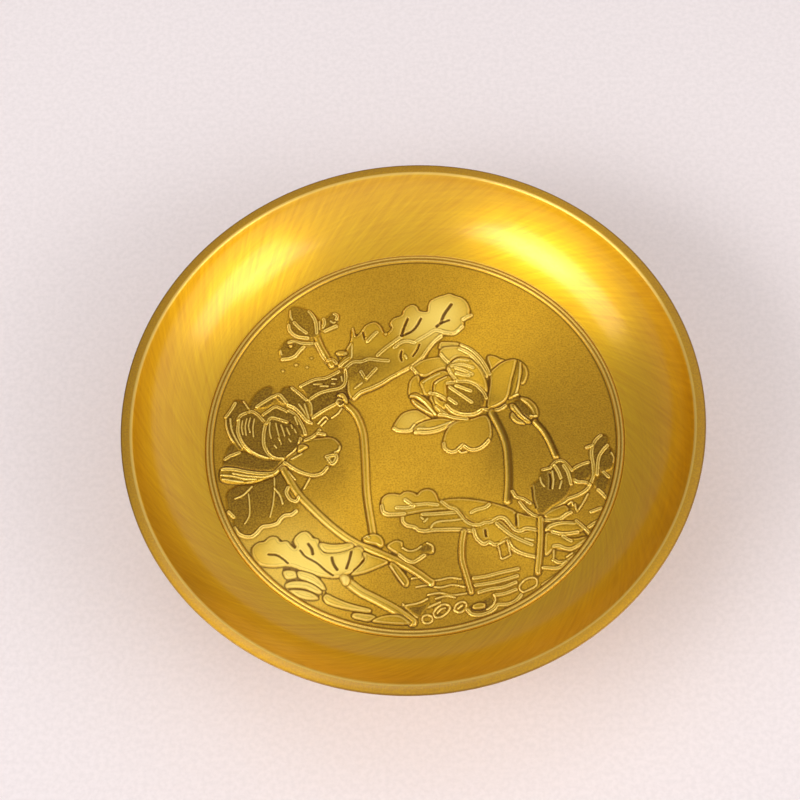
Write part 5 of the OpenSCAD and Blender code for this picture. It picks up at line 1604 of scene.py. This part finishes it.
class DISH_OT_bead(bpy.types.Operator):
    """Turns the raised bead round the medallion"""

    bl_idname = "object.dish_bead"
    bl_label = "Medallion bead"

    def execute(self, context):
        s = in_mm(settings().dish)
        middle_r = BEAD_R - s["bead"] / 2
        half_top = s["bead_top"] / 2
        half_groove = s["bead_groove"] / 2
        top_z = FLOOR_Z + s["bead_h"]
        groove_z = top_z - 0.15
        ridge_ease, groove_ease = 0.22, 0.12
        corners = [(middle_r - s["bead"] / 2, FLOOR_Z), (middle_r - half_top, top_z, ridge_ease),
                   (middle_r - half_groove, top_z, ridge_ease), (middle_r, groove_z, groove_ease),
                   (middle_r + half_groove, top_z, ridge_ease), (middle_r + half_top, top_z, ridge_ease),
                   (BEAD_R, FLOOR_Z)]
        # The bead's material paints its ridges pale as highlight and its feet and groove dark as shade
        rubbed = shared("Brass, turned, with painted glint and shade", painted_bead_brass)
        piece = turned("medallion_bead", eased(corners, 6), rubbed, settings().dish.segments)
        hand_in(piece, "bead_brass", "medallion_bezel")
        return {"FINISHED"}


class DISH_OT_foot(bpy.types.Operator):
    """Turns the hollow foot under the dish"""

    bl_idname = "object.dish_foot"
    bl_label = "Foot"

    def execute(self, context):
        s = in_mm(settings().foot)
        step_z = s["edge_h"] + s["step_h"]
        centre = (s["neck"] + s["sweep"], step_z + s["sweep"])
        flange_z = UNDER_Z - s["flange_t"]
        flare_z = centre[1] + s["neck_h"]
        flare_r = flange_z - flare_z
        socket_z = BOSS_Z - s["socket_play"]
        hollow_r = s["sweep"] + s["wall"]
        top_bearing = 180 + math.degrees(math.asin((centre[1] - HUB_Z) / hollow_r))
        fine_ease, soft_ease, broad_ease = 0.3, 0.4, 0.5
        corners = [(s["bore"], HUB_Z, fine_ease), (s["bore"], socket_z), (s["socket"], socket_z),
                   (s["socket"], UNDER_Z), (s["flange"], UNDER_Z, fine_ease),
                   (s["flange"], flange_z, soft_ease)]
        corners += arc((s["neck"] + flare_r, flare_z), flare_r, 90, 180, 12)
        corners += arc(centre, s["sweep"], 180, 270, 32)
        corners += [(s["step_r"], step_z, soft_ease), (s["step_r"], s["edge_h"]),
                    (FOOT_R, s["edge_h"], broad_ease), (FOOT_R, BASE_Z, soft_ease),
                    (centre[0], BASE_Z, soft_ease)]
        corners += arc(centre, hollow_r, 270, top_bearing, 32)
        brass = shared("Brass, turned", turned_brass)
        piece = turned("dish_foot", eased(corners), brass, settings().dish.segments)
        hand_in(piece, "foot_brass", "foot")
        return {"FINISHED"}


class DISH_OT_stud(bpy.types.Operator):
    """Cuts the threaded stud that joins dish and foot"""

    bl_idname = "object.dish_stud"
    bl_label = "Stud"

    def execute(self, context):
        s = in_mm(settings().fasteners)
        reach = STUD_TOP_Z - STUD_Z
        piece = baked("dish_stud", bpy.data.meshes.new("dish_stud"), thread_tree(), {
            "Radius": STUD_R * MM, "Length": reach * MM, "Base": STUD_Z * MM, "Pitch": s["pitch"] * MM,
            "Depth": s["depth"] * MM, "Rings": round(reach / s["pitch"]) * RINGS_PER_TURN,
            "Material": shared("Steel, zinc-plated", zinc_plate)})
        hand_in(piece, "plated_steel", "stud")
        return {"FINISHED"}


class DISH_OT_washers(bpy.types.Operator):
    """Makes the flat washer and the split spring washer"""

    bl_idname = "object.dish_washers"
    bl_label = "Washers"

    def execute(self, context):
        s = in_mm(settings().fasteners)
        zinc = shared("Steel, zinc-plated", zinc_plate)
        flat = washer_section(s["washer_bore"], WASHER_R, WASHER_Z, HUB_Z, s["edge"])
        hand_in(turned("flat_washer_ring", flat, zinc, WASHER_STEPS), "plated_steel", "flat_washer")
        split = washer_section(s["spring_bore"], SPRING_R, SPRING_Z, SPRING_TOP_Z, s["edge"])
        turns = np.linspace(0, math.tau - settings().fasteners.slit, SPRING_STEPS)
        rings = [around(turn, split) for turn in turns]
        hand_in(ring_mesh("spring_washer_ring", rings, False, zinc), "plated_steel", "spring_washer")
        return {"FINISHED"}


class DISH_OT_nut(bpy.types.Operator):
    """Makes the hexagon nut with its bevels and thread"""

    bl_idname = "object.dish_nut"
    bl_label = "Hexagon nut"

    def execute(self, context):
        s = in_mm(settings().fasteners)
        flat_r = NUT_CORNER_R * math.cos(math.pi / 6)
        bevel_r = 0.96 * flat_r
        bevel_rise = math.tan(math.radians(30))
        bore_r = STUD_R + s["play"]
        mouth = 0.45
        levels = np.linspace(NUT_Z + mouth, NUT_TOP_Z - mouth, NUT_LEVELS)
        rings = []
        for turn in np.linspace(0, math.tau, NUT_STEPS, endpoint=False):
            from_flat = (turn % (math.pi / 3)) - math.pi / 6
            side_r = flat_r / math.cos(from_flat)
            drop = (side_r - bevel_r) * bevel_rise
            section = [(bore_r, NUT_Z), (bevel_r, NUT_Z), (side_r, NUT_Z + drop),
                       (side_r, NUT_TOP_Z - drop), (bevel_r, NUT_TOP_Z), (bore_r, NUT_TOP_Z)]
            half_turn = turn if turn <= math.pi else turn - math.tau
            for z in levels[::-1]:
                section.append((bore_r - thread_cut(half_turn, z, s["pitch"], s["depth"]), z))
            rings.append(around(turn, section))
        piece = ring_mesh("hex_nut_body", rings, True, shared("Steel, zinc-plated", zinc_plate))
        hand_in(piece, "plated_steel", "hex_nut")
        return {"FINISHED"}


# Stage: the camera's place in mm and its backward direction, and the floor's side in m
CAMERA_AT = Vector((21.2, -231.8, 531.0))
CAMERA_BACK = Vector((0.0441, -0.4340, 0.8998))
CAMERA_ANGLE = math.radians(20)
CAMERA_CLIP = 0.01
FLOOR_REACH = 6.0

# Softboxes with grids, which keep the glare off the floor under them: name, direction from the dish,
# distance in m, width and height in m, power in W
SOFTBOXES = (
    ("key", (-0.66, -0.34, 0.67), 1.0, 0.86, 0.38, 0.58),
    ("key_core", (-0.5, -0.43, 0.75), 0.99, 0.5, 0.3, 0.2),
    ("fill", (0.775, -0.34, 0.53), 1.0, 0.68, 0.33, 0.3),
    ("fill_core", (0.58, -0.4, 0.71), 0.99, 0.4, 0.24, 0.11),
    ("top", (-0.16, 0.2, 0.965), 1.0, 0.4, 0.3, 0.07),
)
GRID_SPREAD = math.radians(70)

# The surroundings darken from low in front of the dish to high behind it
STUDIO_WHITE = "#FFFCFA"
DARK_WAY = (-0.5, 0.63, 0.6)
BRIGHT_END = -0.71
DARK_END = 1.0
BRIGHT_SHINE = 1.26
DARK_SHINE = 0.36


class DISH_OT_stage(bpy.types.Operator):
    """Sets up the floor, soft light, surroundings and camera"""

    bl_idname = "object.dish_stage"
    bl_label = "Stage"

    def execute(self, context):
        scene = context.scene
        mesh = bpy.data.meshes.new("floor")
        half = FLOOR_REACH / 2
        corners = [(-half, -half, 0), (half, -half, 0), (half, half, 0), (-half, half, 0)]
        mesh.from_pydata(corners, [], [(0, 1, 2, 3)])
        mesh.materials.append(shared("Paper, matt", floor_paper))
        floor = bpy.data.objects.new("floor", mesh)
        scene.collection.objects.link(floor)

        aim = Vector((0, 0, RIM_Z * MM))
        for name, way, distance, width, height, power in SOFTBOXES:
            lamp = bpy.data.lights.new(f"softbox_{name}", "AREA")
            lamp.shape = "RECTANGLE"
            lamp.size = width
            lamp.size_y = height
            lamp.energy = power
            lamp.spread = GRID_SPREAD
            box = bpy.data.objects.new(f"softbox_{name}", lamp)
            box.location = aim + Vector(way).normalized() * distance
            box.rotation_euler = (aim - box.location).to_track_quat("-Z", "Y").to_euler()
            scene.collection.objects.link(box)

        world = bpy.data.worlds.new("studio")
        world.use_nodes = True
        tree = world.node_tree
        tree.nodes.clear()
        way = add(tree, "ShaderNodeTexCoord").outputs["Generated"]
        behind = add(tree, "ShaderNodeVectorMath", (way, DARK_WAY), operation="DOT_PRODUCT")
        shine = add(tree, "ShaderNodeMapRange", (behind, BRIGHT_END, DARK_END, BRIGHT_SHINE, DARK_SHINE))
        white = rgba(linear(STUDIO_WHITE))
        backdrop = add(tree, "ShaderNodeBackground", {"Color": white, "Strength": shine})
        add(tree, "ShaderNodeOutputWorld", {"Surface": backdrop})
        scene.world = world

        camera_data = bpy.data.cameras.new("camera")
        camera_data.angle = CAMERA_ANGLE
        camera_data.clip_start = CAMERA_CLIP
        camera = bpy.data.objects.new("camera", camera_data)
        back = CAMERA_BACK.normalized()
        right = Vector((0, 1, 0)).cross(back).normalized()
        up = back.cross(right)
        turn = Matrix((right, up, back)).transposed()
        camera.matrix_world = Matrix.Translation(CAMERA_AT * MM) @ turn.to_4x4()
        scene.collection.objects.link(camera)
        scene.camera = camera
        scene.view_settings.view_transform = "Standard"
        return {"FINISHED"}


class DISH_PT_panel(bpy.types.Panel):
    """Lists the dish's pieces"""

    bl_idname = "DISH_PT_panel"
    bl_label = "Offering Dish"
    bl_space_type = "VIEW_3D"
    bl_region_type = "UI"
    bl_category = "Offering Dish"

    def draw(self, context):
        for operator in OPERATORS:
            self.layout.operator(operator.bl_idname)


GROUPS = (DishSizes, FootSizes, FastenerSizes, ReliefSizes, DishColours, DishSettings)
OPERATORS = (DISH_OT_bowl, DISH_OT_medallion, DISH_OT_bead, DISH_OT_foot, DISH_OT_stud, DISH_OT_washers,
             DISH_OT_nut, DISH_OT_stage)
CLASSES = (*GROUPS, *OPERATORS, DISH_PT_panel)


def register():
    """Registers the classes and puts the settings on the scene."""
    for item in CLASSES:
        bpy.utils.register_class(item)
    bpy.types.Scene.offering_dish = bpy.props.PointerProperty(type=DishSettings)


def unregister():
    """Takes the settings and the classes away again."""
    del bpy.types.Scene.offering_dish
    for item in reversed(CLASSES):
        bpy.utils.unregister_class(item)


def main():
    """Builds the dish and its stage."""
    register()
    for operator in OPERATORS:
        group, name = operator.bl_idname.split(".")
        getattr(getattr(bpy.ops, group), name)()


if __name__ == "__main__":
    main()
